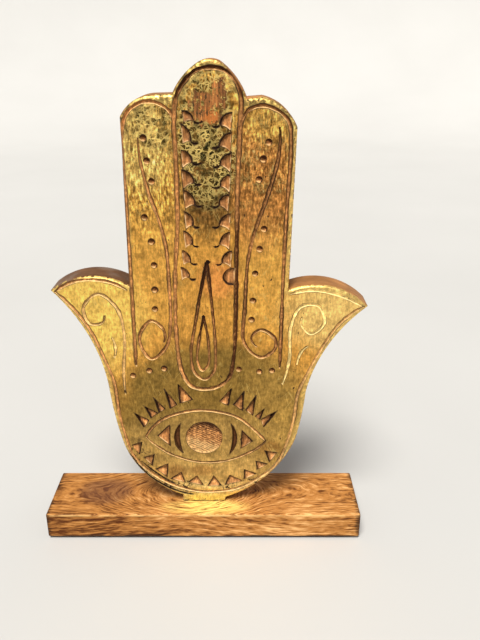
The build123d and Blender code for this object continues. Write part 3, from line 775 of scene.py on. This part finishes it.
class Finish:
    """A material's node tree, with a short word for each step that the finishes need."""

    def __init__(self, name):
        self.material = bpy.data.materials.new(name)
        self.material.use_nodes = True
        self.tree = self.material.node_tree
        self.shader = self.tree.nodes["Principled BSDF"]
        self.place = self.add("TexCoord", "Object", {})
        split = self.tree.nodes.new("ShaderNodeSeparateXYZ")
        self.put(split.inputs["Vector"], self.place)
        self.x, self.y, self.z = split.outputs

    def put(self, socket, value):
        """Links an output to a socket, or sets the socket's own value."""
        if isinstance(value, bpy.types.NodeSocket):
            self.tree.links.new(value, socket)
        else:
            socket.default_value = value

    def add(self, kind, output, inputs, **settings):
        """Adds one node with its settings and inputs, and gives back the output of that name or number."""
        node = self.tree.nodes.new("ShaderNode" + kind)
        for key, value in settings.items():
            setattr(node, key, value)
        for key, value in inputs.items():
            self.put(node.inputs[key], value)
        return node.outputs[output]

    def stretched(self, x, y, z, turn=0.0):
        """The place on the piece, turned about Y by degrees, with each axis multiplied by its own number."""
        place = self.place
        if turn:
            place = self.add("Mapping", "Vector", {"Vector": place, "Rotation": (0, math.radians(turn), 0)})
        return self.add("Mapping", "Vector", {"Vector": place, "Scale": (x, y, z)})

    def axes(self, x, y, z):
        """A place made of three numbers."""
        return self.add("CombineXYZ", 0, {0: x, 1: y, 2: z})

    def noise(self, scale, detail=2.0, roughness=0.5, place=None, warp=0.0):
        """Cloudy noise between 0 and 1."""
        inputs = {"Scale": scale, "Detail": detail, "Roughness": roughness, "Distortion": warp}
        return self.add("TexNoise", "Fac", {"Vector": place or self.place, **inputs})

    def swing(self, *noise, **more):
        """Cloudy noise about zero, from -0.5 to 0.5."""
        return self.sums("SUBTRACT", self.noise(*noise, **more), 0.5)

    def threads(self, width, *noise, **more):
        """Thin wandering lines: where a noise crosses its middle, as wide as the given share of it."""
        return self.rise(self.sums("ABSOLUTE", self.swing(*noise, **more)), width, 0.3 * width)

    def flakes(self, size, place):
        """A broken skin: the distance to the nearest crack, in flakes, and a random number for each."""
        inputs = {"Vector": place, "Scale": 1 / (size * MM)}
        crack = self.add("TexVoronoi", "Distance", inputs, feature="DISTANCE_TO_EDGE")
        return crack, self.sums("MULTIPLY", self.add("TexVoronoi", "Color", inputs), 1.0)

    def shifted(self, scale, reach):
        """The place moved about by noise, by up to half the reach in millimetres each way."""
        clouds = self.add("TexNoise", "Color", {"Vector": self.place, "Scale": scale, "Detail": 3.0})
        moved = {0: clouds, 1: (reach * MM,) * 3, 2: self.place}
        return self.add("VectorMath", "Vector", moved, operation="MULTIPLY_ADD")

    def sums(self, operation, first, second=0.0):
        """One step of arithmetic."""
        return self.add("Math", 0, {0: first, 1: second}, operation=operation)

    def rise(self, value, low, high):
        """A smooth step: 0 below low, 1 above high, and the other way round where low is the greater."""
        ends = {"From Min": min(low, high), "From Max": max(low, high),
                "To Min": float(low > high), "To Max": float(low <= high)}
        return self.add("MapRange", "Result", {"Value": value, **ends}, interpolation_type="SMOOTHSTEP")

    def both(self, *shares):
        """The product of several shares."""
        return reduce(partial(self.sums, "MULTIPLY"), shares)

    def either(self, *shares):
        """The greatest of several shares."""
        return reduce(partial(self.sums, "MAXIMUM"), shares)

    def added(self, *values):
        """The sum of several numbers."""
        return reduce(partial(self.sums, "ADD"), values)

    def blend(self, share, first, second):
        """A colour between two colours."""
        return self.add("Mix", 2, {0: share, 6: first, 7: second}, data_type="RGBA")

    def over(self, tone, colour, *shares):
        """A tone with a colour laid over it by the product of the shares. A tuple is a screen colour."""
        return self.blend(self.both(*shares), tone, seen(*colour) if isinstance(colour, tuple) else colour)

    def lit(self, colour, stops):
        """A colour made brighter or darker by a number of photographic stops: each stop doubles its light."""
        light = colour[:3] if isinstance(colour, tuple) else colour
        gain = self.sums("POWER", 2.0, stops)
        return self.add("VectorMath", "Vector", {0: light, "Scale": gain}, operation="SCALE")

    def between(self, share, first, second):
        """A number between two numbers."""
        return self.add("Mix", 0, {0: share, 2: first, 3: second})

    def kept(self, name):
        """A number kept at the piece's points."""
        return self.add("Attribute", "Fac", {}, attribute_name=name)

    def bump(self, height, distance, strength=1.0, under=None):
        """A normal tilted by a height pattern, whose full height is the distance in metres."""
        inputs = {"Height": height, "Distance": distance, "Strength": strength}
        return self.add("Bump", "Normal", inputs if under is None else {**inputs, "Normal": under})

    def oval(self, across, along, centre, half, ragged, edge):
        """A patch with a soft edge: 1 inside an oval in millimetres, 0 outside, its edge moved by noise."""
        square = ragged
        for axis, middle, reach in zip((across, along), centre, half):
            away = self.sums("DIVIDE", self.sums("SUBTRACT", axis, middle * MM), reach * MM)
            square = self.sums("ADD", square, self.both(away, away))
        return self.rise(square, 1 + edge, 1 - edge)

    def spot(self, x, z, width, height, ragged=0.0, edge=0.4):
        """An oval patch on the hand's front, placed on the carver's drawing."""
        return self.oval(self.x, self.z, (x + HAND_AXIS_X, z), (width, height), ragged, edge)

    def finish(self, **sockets):
        """Fills the shader's sockets by name, with spaces written as underscores."""
        for key, value in sockets.items():
            self.put(self.shader.inputs[key.replace("_", " ")], value)
        return self.material


def dress(piece, material):
    """Gives a piece one material in its first slot, in place of what was there."""
    piece.data.materials.clear()
    piece.data.materials.append(material)


print("words for nodes:", len([word for word in vars(Finish) if not word.startswith("_")]))

# %% [markdown]
# ## Gold leaf
#
# Imitation gold leaf is a brass-coloured metal. Low on the palm it is olive, partly dulled and partly
# painted shade, across the middle it is a warm amber, and near the fingertips it has crazed into pale flakes
# over a dark olive ground. Bright patches on the thumbs and fingers are painted highlights, and a painted
# reflection of the plinth lies on the foot. It wears through to the wood on the fingertip, along cut edges
# and in specks. Each of these is a mask, laid over the last.

# %% Leaf finish
AMBER, OLIVE_TARNISH_AND_SHADE, DARK_GOLD = (218, 158, 72), (146, 114, 54), (112, 78, 38)
HIGHLIGHT_GOLD, PALE, BROWN_GOLD = (250, 194, 94), (246, 204, 122), (202, 136, 70)
# Patches of tone, of painted highlight and of painted shade: place and half size on the drawing, softness
# of the edge, share and colour
LEAF_TONES_AND_PAINTED_LIGHT = [
    # The brightest rows on the fingers are painted highlights
    (-36, 250, 22, 90, 0.9, 0.25, HIGHLIGHT_GOLD),
    (-39, 282, 15, 28, 0.9, 0.6, (255, 214, 124)),
    (33, 262, 20, 46, 0.6, 0.95, BROWN_GOLD),
    (36, 297, 14, 13, 0.9, 0.6, HIGHLIGHT_GOLD),
    (33, 254, 18, 26, 0.9, 0.25, (120, 82, 38)),
    (36, 195, 16, 35, 0.9, 0.35, HIGHLIGHT_GOLD),
    (-1, 268, 17, 40, 0.6, 0.95, DARK_GOLD),
    (6, 197, 13, 12, 0.9, 0.5, (244, 150, 82)),
    # Olive over the low palm: partly tarnish, partly painted shade
    (-3, 96, 72, 55, 0.35, 1.0, OLIVE_TARNISH_AND_SHADE),
    (-4, 71, 66, 26, 0.9, 0.75, (188, 150, 84)),
    (48, 100, 24, 40, 0.9, 0.5, (190, 150, 76)),
    (-5, 42, 60, 17, 0.8, 0.85, (212, 170, 96)),
    # Painted highlights on the thumbs
    (-82, 172, 36, 44, 0.8, 1.0, (255, 208, 104)),
    (84, 176, 34, 28, 0.9, 0.9, PALE),
    (-27, 49, 7, 6, 0.8, 0.55, (132, 82, 36)),
    (-8, 50, 9, 4, 0.8, 0.45, (150, 96, 42)),
    (41, 69, 8, 6, 0.8, 0.45, (150, 96, 42)),
    # A painted reflection of the lit plinth on the foot
    (-5, 26, 62, 13, 0.8, 0.7, (232, 206, 136)),
    (-7, 25, 24, 5, 0.5, 1.0, (236, 222, 150)),
]


def leaf_finish():
    """Metal leaf: tone with painted highlights and shade, streaks, wrinkles, specks, a rim with a painted
    highlight, and wear down to the wood.
    """
    f = Finish("gold_leaf")
    sway = f.both(f.swing(30, 4, 0.6), 1.1)
    tone = seen(*AMBER)
    for x, z, width, height, edge, share, colour in LEAF_TONES_AND_PAINTED_LIGHT:
        tone = f.over(tone, colour, f.spot(x, z, width, height, sway, edge), share)
    # Upright streaks, strong on the fingers and faint below, and cloudy mottling everywhere
    fingers = f.rise(f.added(f.z, f.both(sway, 0.06)), 0.205, 0.265)
    fine_streak = f.swing(1, 3, 0.6, f.stretched(820, 820, 230))
    broad_streak = f.swing(1, 2, 0.5, f.stretched(240, 240, 26))
    mottle = f.swing(95, 5, 0.65)
    speckle = f.swing(420, 3, 0.6)
    tone = f.lit(tone, f.added(
        f.both(fine_streak, f.between(fingers, 2.2, 8.0)), f.both(broad_streak, f.between(fingers, 0.5, 1.3)),
        f.both(mottle, f.between(fingers, 2.4, 3.6)), f.both(speckle, f.between(fingers, 2.0, 5.2))))
    dashes = f.rise(f.noise(1, 2, 0.55, f.stretched(880, 880, 190)), 0.56, 0.68)
    dashes = f.both(dashes, f.rise(f.noise(70, 3), 0.40, 0.58), fingers)
    tone = f.over(tone, (84, 58, 24), dashes, 0.8)
    flecks = f.rise(f.noise(1, 2, 0.55, f.stretched(930, 930, 260)), 0.58, 0.70)
    flecks = f.both(flecks, f.rise(f.noise(60, 3), 0.44, 0.60), fingers)
    tone = f.over(tone, (255, 222, 138), flecks, 0.75)
    # Wrinkles: pale threads over dark olive ground
    crack, flake = f.flakes(3.4, f.shifted(240, 5.0))
    wrinkle = f.either(f.rise(crack, 0.14, 0.05), f.both(f.threads(0.045, 330, 2, 0.5, warp=0.6), 0.75))
    islands = f.rise(f.noise(90, 4, 0.6), 0.42, 0.58)
    middle = f.both(f.spot(0, 287, 18.5, 42, sway, 0.3), f.either(islands, 0.8))
    left_tip = f.both(f.spot(-32, 295, 14, 15, sway, 0.5), f.either(islands, 0.75))
    crazed = f.either(middle, left_tip, f.both(fingers, islands, 0.25))
    ground = f.blend(f.rise(f.noise(420, 2), 0.45, 0.6), seen(34, 36, 18), seen(84, 68, 30))
    tone = f.over(tone, ground, crazed, f.rise(flake, 0.20, 0.5), 0.97)
    fading = f.between(f.rise(f.z, 0.240, 0.275), 0.5, 0.95)
    pale_lines = f.both(crazed, wrinkle, f.rise(f.noise(150, 3), 0.34, 0.55), fading)
    tone = f.over(tone, (255, 222, 132), pale_lines)
    # Scratches of the palm, in two directions
    scratches = f.either(f.threads(0.012, 1, 1, 0.4, f.stretched(150, 150, 14, 24)),
                         f.threads(0.010, 1, 1, 0.4, f.stretched(130, 130, 12, -38)))
    tone = f.over(tone, (240, 206, 120), scratches, f.rise(f.noise(90, 3), 0.48, 0.64), 0.42)
    # Rim: rubbed leaf with a painted highlight, brightest low on the bowl as a painted reflection, mottled
    # and chipped
    tips = f.rise(f.z, 0.272, 0.296)
    rim_gap = f.added(f.kept("rim_gap"), f.both(sway, 1.4), f.both(tips, -2.4))
    rim = f.rise(rim_gap, 4.5, 0.8)
    rim_highlight = f.blend(f.rise(f.z, 0.085, 0.045), seen(250, 212, 126), seen(252, 240, 172))
    tone = f.over(tone, rim_highlight, rim, 0.75)
    rim_stops = f.added(f.both(speckle, f.between(tips, 3.0, 8.0)), f.between(tips, -0.1, -0.4))
    tone = f.lit(tone, f.both(rim, rim_stops))
    chips = f.both(rim, f.rise(f.noise(360, 3, 0.6), 0.56, 0.63), f.rise(f.noise(60, 3), 0.40, 0.56))
    chips = f.both(chips, f.between(tips, 0.5, 1.0))
    # Specks, dirt along the cuts, and a ragged edge at the foot, darkened by painted shade where it stands on
    # the plinth
    specks = f.rise(f.noise(1, 2, 0.5, f.stretched(460, 460, 240)), 0.69, 0.74)
    fine = f.noise(420, 3, 0.6)
    dirt = f.rise(f.added(f.kept("cut_edge"), f.both(fine, -1.4)), -0.1, -0.5)
    dirt = f.both(dirt, f.rise(f.noise(60, 3), 0.36, 0.56))
    foot_gap = f.added(f.sums("SUBTRACT", f.z, FOOT_Z * MM), f.both(f.swing(260, 4, 0.65), 0.010))
    ragged_foot_shade = f.rise(foot_gap, 0.0014, 0.0006)
    battered = f.either(f.spot(-54, 54, 9, 22, sway, 0.6), f.spot(-32, 36, 18, 8, sway, 0.6),
                        f.spot(24, 36, 20, 7, sway, 0.6))
    torn = f.both(battered, f.rise(f.noise(300, 4, 0.65), 0.55, 0.60))
    dark = f.either(specks, torn, f.both(dirt, 0.9), f.both(chips, 0.85), ragged_foot_shade)
    # Worn fingertip
    tear = f.both(f.swing(190, 4, 0.65), 4.4)
    worn = f.either(f.spot(-2.5, 304.5, 8, 9.5, tear), f.spot(7.5, 311.5, 4.5, 10, tear),
                    f.spot(3.5, 299, 5, 4, tear))
    grain = f.swing(1, 4, 0.65, f.stretched(700, 700, 40))
    bare_wood = f.lit(seen(138, 87, 43), f.both(grain, 9.0))
    bare_wood = f.over(bare_wood, (204, 118, 50), f.spot(3, 299, 4, 6, tear, 0.6), 0.7)
    remnant = f.noise(1, 3, 0.6, f.stretched(520, 520, 300))
    bare_wood = f.over(bare_wood, (52, 44, 20), f.rise(remnant, 0.58, 0.64), 0.85)
    worn = f.both(worn, f.rise(remnant, 0.36, 0.42))
    tone = f.over(tone, bare_wood, worn)
    tone = f.over(tone, (46, 26, 11), dark)
    bare = f.either(worn, f.both(dark, 0.9))
    bumps = f.bump(f.both(fine_streak, fingers), 0.00014, 0.8)
    bumps = f.bump(f.both(wrinkle, crazed), 0.00014, 0.8, bumps)
    bumps = f.bump(mottle, 0.00025, 0.7, bumps)
    rough = f.between(f.either(crazed, rim), f.between(f.noise(120, 4, 0.6), 0.24, 0.42), 0.5)
    return f.finish(Base_Color=tone, Metallic=f.between(bare, 0.9, 0.0),
                    Roughness=f.between(bare, rough, 0.7), Specular_IOR_Level=0.25, Normal=bumps)


dress(leaf, leaf_finish())
print("leaf nodes:", len(leaf.data.materials[0].node_tree.nodes))

# %% [markdown]
# ## Carved wood
#
# Where a tool has gone through the leaf, the bare wood shows, cream to pinkish tan by its stain. The lower
# wall of a groove gets a painted highlight and the upper wall painted shade, nearly black in stop cuts and
# along the shaded edges.
# The iris is hatched by rows of slits. The sawn sides and the back are sanded and stained a middle brown.

# %% Board finish
STAB_RATE = 2 * math.pi / (1.5 * MM)


def board_finish():
    """Bare wood in the cuts with painted shade and highlights, stained wood on the sides and the back, and
    grain that suits each face.
    """
    f = Finish("carved_wood")
    grain = f.swing(1, 4, 0.6, f.stretched(700, 700, 40))
    layers = f.swing(1, 4, 0.6, f.stretched(26, 900, 26))
    cloud = f.noise(45, 4, 0.6)
    fine = f.swing(420, 3, 0.6)
    # Cuts: cream where they only score the leaf, pinkish tan where stain has soaked in, and painted shade on
    # the upper wall of a groove
    stain = f.kept("stain")
    pale = f.blend(f.rise(stain, 0.0, 0.5), seen(255, 226, 150), seen(224, 162, 98))
    pale = f.over(pale, (172, 116, 66), f.rise(stain, 0.5, 1.0))
    stop_gap = f.kept("stop_gap")
    in_chip = f.rise(stop_gap, 5.9, 5.0)
    streaks = f.both(grain, f.between(in_chip, 2.4, 5.0))
    pale = f.lit(pale, f.added(streaks, f.both(fine, 3.0), f.both(f.swing(70, 3), 1.6)))
    low = f.added(f.kept("low_wall"), f.both(fine, 0.7))
    shade = f.blend(stain, seen(140, 88, 46), seen(56, 27, 13))
    cut = f.blend(f.both(f.rise(low, 0.28, -0.30), f.between(stain, 0.1, 1.2)), pale, shade)
    # A painted highlight: cream on the lower wall of a groove
    rubbed = f.both(f.rise(low, 0.40, 0.80), f.rise(low, 1.6, 1.4), f.between(stain, 0.75, 0.3))
    cut = f.over(cut, (255, 222, 152), rubbed)
    # Painted shade in the stop cuts and along the shaded edges, deeper where the stain is darker, chip floors
    # painted darker by the stop cut and lighter away from it, a painted highlight on a chip's shallow lip,
    # and dark chisel stabs, strongest on the iris's shaded upper part
    floor = f.between(f.rise(stain, 1.04, 1.12), 0.38, -0.22)
    cut = f.lit(cut, f.both(in_chip, f.between(f.rise(stop_gap, 0.6, 3.2), -0.9, floor)))
    stop_cut_shade = f.rise(f.added(stop_gap, f.both(fine, 2.0)), 1.20, 0.60)
    cut = f.over(cut, (34, 16, 7), stop_cut_shade, 0.95)
    edge = f.added(f.kept("cut_edge"), f.both(fine, 0.6))
    edge_shade = f.both(f.rise(edge, -0.62, -0.20), f.rise(f.noise(55, 3), 0.28, 0.48),
                     f.between(stain, 0.0, 1.3), f.between(in_chip, f.rise(low, 0.75, 0.25), 0.3))
    cut = f.over(cut, (34, 16, 8), edge_shade)
    lip = f.both(in_chip, f.rise(edge, -0.85, -0.30), f.rise(stop_gap, 1.5, 2.6),
                 f.rise(f.noise(80, 3), 0.36, 0.56))
    cut = f.over(cut, (250, 204, 146), lip, 0.8)
    stabs = f.kept("stabs")
    across = f.added(f.both(f.x, STAB_X * STAB_RATE), f.both(f.z, STAB_Z * STAB_RATE),
                     f.both(f.swing(170, 3), 11.0))
    rows = f.sums("SINE", across)
    slits = f.both(f.rise(rows, -0.1, 0.5), f.rise(f.noise(520, 2), 0.34, 0.46), f.rise(stabs, 0.05, 0.15))
    cut = f.over(cut, (64, 32, 15), slits, f.between(f.rise(low, -0.2, 0.9), 0.97, 0.65))
    # Crescents and ticks are the darkest cuts, most so along their edges
    darkest_tone = f.lit(seen(60, 34, 16), f.added(f.both(fine, 4.0),
                                            f.between(f.rise(edge, -1.5, -0.5), 1.0, -0.7)))
    cut = f.over(cut, darkest_tone, f.rise(stain, 1.12, 1.3), 0.9)
    # Sides: grey brown to the left, tan to the right and at the fingertips, striped along the board's layers
    right = f.either(f.rise(f.added(f.x, f.both(fine, 0.01)), -0.02, 0.05), f.rise(f.z, 0.27, 0.30))
    side = f.blend(right, seen(104, 70, 44), seen(160, 110, 62))
    side = f.lit(side, f.added(f.both(layers, 2.6), f.both(f.swing(60, 3), 2.4)))
    side = f.over(side, (128, 108, 92), f.rise(cloud, 0.50, 0.70), f.rise(right, 0.6, 0.1), 0.7)
    back = f.rise(f.y, 0.0102, 0.0108)
    rear = f.lit(seen(142, 96, 58), f.added(f.both(grain, 2.6), f.both(f.swing(18, 4, 0.6), 1.6)))
    side = f.over(side, rear, back)
    tone = f.blend(f.kept("side_wall"), cut, side)
    bumps = f.bump(f.between(back, layers, grain), 0.00010, 0.8)
    bumps = f.bump(fine, 0.00012, 0.5, bumps)
    return f.finish(Base_Color=tone, Roughness=f.between(cloud, 0.50, 0.70), Specular_IOR_Level=0.12,
                    Normal=bumps)


dress(board, board_finish())
for piece, node, slot in ((board, "hand_panel", "hand_wood"), (leaf, "front_gold_leaf", "gold_leaf")):
    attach(piece, "root")
    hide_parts(node)
print("dressed:", board.name, "and", leaf.name)

# %% [markdown]
# ## Plinth
#
# The plinth is one block of flat-sawn wood, oiled to a golden brown. Its growth rings meet the top at a low
# angle and show as wide ovals, and on the front as long streaks. Its ends were scorched darker, and a band of
# painted shade runs along its foot. On its top lie a painted pool of golden light before the hand's foot, a
# painted highlight along the edges, and a touch of painted light all over. The frame's own solid has the
# right shape, so only the finish is new.

# %% Plinth finish
PITH_X, PITH_DEPTH, PITH_REACH, PITH_SINK = -12.0, 30.0, 80.0, 8.5


def plinth_finish():
    """Golden brown wood: rings round a bent pith under the block, pores, cloudy tone, scorched ends, and
    painted light and shade on the top and at the foot.
    """
    f = Finish("plinth_wood")
    low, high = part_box("base_block")
    sway = f.swing(14, 4, 0.6, f.stretched(0.7, 1.2, 1.2))
    top = f.rise(f.z, high[2] - 0.0016, high[2] - 0.0012)
    # Distance from the pith: a line along X, highest at PITH_X, that sinks by PITH_SINK within
    # PITH_REACH on both sides
    away = f.sums("ABSOLUTE", f.sums("SUBTRACT", f.x, PITH_X * MM))
    height = f.added(f.z, PITH_DEPTH * MM, f.both(f.rise(away, 0.0, PITH_REACH * MM), PITH_SINK * MM))
    reach = f.added(f.sums("SQRT", f.added(f.both(f.y, f.y), f.both(height, height))), f.both(sway, 0.007))
    # Rings are cut steeply by the front and at a low angle by the top, so the top shows the finer ones
    layer = f.both(reach, f.between(top, 520, 2100))
    streaks = f.swing(1, 4, 0.62, f.axes(f.both(f.x, 26), layer, f.both(f.added(f.y, f.z), 26)))
    ring = f.sums("SINE", f.added(f.both(layer, 2.6), f.both(sway, 9.0)))
    pores = f.swing(1, 3, 0.6, f.axes(f.both(f.x, 110), f.both(layer, 1.5), f.both(f.added(f.y, f.z), 150)))
    cloud = f.swing(1, 4, 0.6, f.stretched(24, 50, 70))
    darker = f.rise(f.added(f.x, f.both(sway, 0.10)), 0.0, -0.09)
    # The top is made a little lighter than the front: painted light
    shade = f.added(f.both(cloud, 2.4), f.both(ring, 0.14), f.both(streaks, f.between(top, 5.6, 4.2)),
                    f.both(pores, 5.8), f.both(darker, f.between(top, -0.95, -0.60)), f.both(top, 0.10))
    tone = f.blend(f.rise(shade, -1.9, 0.1), seen(84, 38, 6), seen(188, 126, 62))
    tone = f.over(tone, (250, 194, 126), f.rise(shade, -0.1, 1.9))
    patch = f.both(f.oval(f.x, f.y, (-76, 2), (17, 14), f.both(sway, 3.4), 0.8), top)
    tone = f.over(tone, (98, 60, 44), patch, 0.6)
    # A painted pool of golden light on the top, before the hand's foot
    painted_gold_glow = f.both(f.oval(f.x, f.y, (2, -17), (28, 8), f.both(sway, 2.0), 0.9), top)
    tone = f.over(tone, (255, 222, 124), painted_gold_glow, f.rise(shade, -1.2, 0.6), 0.85)
    dashes = f.both(f.rise(pores, -0.04, -0.13), f.rise(streaks, 0.10, -0.04))
    tone = f.over(tone, (104, 58, 20), dashes, 0.6)
    # A pale line along the top edges: wear and a painted highlight
    worn_edge_highlight = f.both(f.rise(f.sums("ABSOLUTE", f.sums("SUBTRACT", f.z, high[2] - 0.0010)), 0.0009, 0.0003),
                       f.rise(f.noise(90, 3), 0.36, 0.56))
    tone = f.over(tone, (240, 194, 124), worn_edge_highlight, 0.65)
    # Scorched darker towards the ends; the dark band along the bottom is painted shade
    end_gap = f.sums("SUBTRACT", high[0], f.sums("ABSOLUTE", f.x))
    foot_gap = f.sums("SUBTRACT", f.z, low[2])
    near_edge = f.sums("MINIMUM", end_gap, f.both(foot_gap, 1.4))
    scorch_and_shade = f.rise(f.added(near_edge, f.both(streaks, 0.012), f.both(f.swing(90, 3), 0.008)), 0.0038, 0.0)
    tone = f.over(tone, (56, 32, 16), scorch_and_shade, 0.85)
    bumps = f.bump(f.added(streaks, pores), 0.00016, 0.8)
    return f.finish(Base_Color=tone, Roughness=f.between(f.noise(60, 4), 0.45, 0.65), Specular_IOR_Level=0.15,
                    Normal=bumps)


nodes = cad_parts
dress(nodes["base_block"], plinth_finish())
print("plinth dressed")

# %% [markdown]
# ## Screws and bumpers
#
# Underneath are two zinc-plated wood screws and four clear bumpers. Zinc plating is a cool, slightly
# clouded metal. A clear bumper lets light through but looks milky, because its surface is matt.

# %% Screw and bumper finishes
def screw_finish():
    """Zinc plating: a cool metal whose tone and polish are clouded, with fine turning marks."""
    f = Finish("zinc_plate")
    cloud = f.noise(700, 4)
    turned = f.noise(1, 2, 0.5, f.stretched(300, 300, 4000))
    tone = f.blend(cloud, seen(150, 152, 156), seen(206, 206, 200))
    return f.finish(Base_Color=tone, Metallic=1.0, Roughness=f.between(cloud, 0.25, 0.5),
                    Normal=f.bump(turned, 0.00003, 0.6))


def bumper_finish():
    """Clear soft plastic: light passes and spreads, with a faint haze."""
    f = Finish("clear_bumper")
    haze = f.noise(500, 3)
    tone = f.blend(haze, seen(214, 212, 202), seen(236, 235, 228))
    return f.finish(Base_Color=tone, Roughness=f.between(haze, 0.22, 0.4), Transmission_Weight=0.65, IOR=1.47,
                    Normal=f.bump(haze, 0.00004, 0.4))


dress(nodes["fixing_screws"], screw_finish())
bumper = bumper_finish()
for name in sorted(nodes):
    if name.startswith("pad_"):
        dress(nodes[name], bumper)
print("screws and bumpers dressed")

# %% [markdown]
# ## Studio
#
# A plain pale floor that curves up all round, a pale sky for the fill, and one soft sun high in front. The
# metal shows whatever stands before it, so the floor and the sky are what make the leaf look like metal.
# The camera stands where the photo was taken: 0.42 m in front, a little above the fingertips, looking down.

# %% Floor
FLOOR_FLAT, FLOOR_RISE, FLOOR_SIDES = 2.2, 1.4, 96


def floor_finish():
    """Pale matt paper with a faint unevenness."""
    f = Finish("pale_floor")
    cloud = f.noise(3, 3)
    return f.finish(Base_Color=f.blend(cloud, seen(196, 195, 192), seen(206, 205, 202)), Roughness=0.85)


# A profile carried round: flat out to FLOOR_FLAT, then a quarter circle up, so that no horizon line shows
up = np.linspace(0, math.pi / 2, 17)
profile = np.concatenate([
    np.stack([np.linspace(0.05, FLOOR_FLAT, 9)[:-1], np.zeros(8)], 1),
    np.stack([FLOOR_FLAT + FLOOR_RISE * np.sin(up), FLOOR_RISE * (1 - np.cos(up))], 1),
])
turns = np.linspace(0, 2 * np.pi, FLOOR_SIDES, endpoint=False)
floor_corners = np.stack([
    np.outer(profile[:, 0], np.cos(turns)), np.outer(profile[:, 0], np.sin(turns)),
    np.repeat(profile[:, 1:], FLOOR_SIDES, 1),
], -1).reshape(-1, 3)
floor_rings = np.arange(len(floor_corners)).reshape(-1, FLOOR_SIDES)
floor_quads = np.concatenate([
    np.stack([near, far, np.roll(far, -1), np.roll(near, -1)], 1)
    for near, far in zip(floor_rings, floor_rings[1:])
])
floor_faces = floor_quads.tolist() + [floor_rings[0].tolist()]
floor = new_piece("floor", floor_corners, floor_faces, [True] * len(floor_faces))
dress(floor, floor_finish())
print(f"floor: {2 * FLOOR_FLAT} m across, then up by {FLOOR_RISE} m")

# %% Light and camera
CAMERA_PLACE = (0.02685, -0.4167, 0.33665)
CAMERA_DOWN = 22.42
FOCAL_PIXELS = 660.0
IMAGE_HEIGHT = 640.0
SENSOR = 36.0
SUN_HEIGHT, SUN_ASIDE, SUN_SPREAD, SUN_STRENGTH = 62.0, -16.0, 24.0, 4.0
SKY_STRENGTH = 0.40

world = bpy.data.worlds.new("studio")
world.use_nodes = True
sky = world.node_tree.nodes["Background"]
sky.inputs["Color"].default_value = seen(226, 226, 226)
sky.inputs["Strength"].default_value = SKY_STRENGTH
bpy.context.scene.world = world

sun_light = bpy.data.lights.new("soft_sun", "SUN")
sun_light.energy = SUN_STRENGTH
sun_light.color = seen(255, 252, 247)[:3]
sun_light.angle = math.radians(SUN_SPREAD)
sun = bpy.data.objects.new("soft_sun", sun_light)
sun.rotation_euler = (math.radians(90 - SUN_HEIGHT), 0, math.radians(SUN_ASIDE))
bpy.context.scene.collection.objects.link(sun)

camera_data = bpy.data.cameras.new("camera")
camera_data.sensor_fit = "VERTICAL"
camera_data.sensor_height = SENSOR
camera_data.lens = FOCAL_PIXELS / IMAGE_HEIGHT * SENSOR
camera_data.clip_start = 0.01
camera = bpy.data.objects.new("camera", camera_data)
camera.location = CAMERA_PLACE
camera.rotation_euler = (math.radians(90 - CAMERA_DOWN), 0, 0)
bpy.context.scene.collection.objects.link(camera)
bpy.context.scene.camera = camera
bpy.context.scene.view_settings.view_transform = "Standard"
print(f"lens {camera_data.lens:.2f} mm")

# %% [markdown]
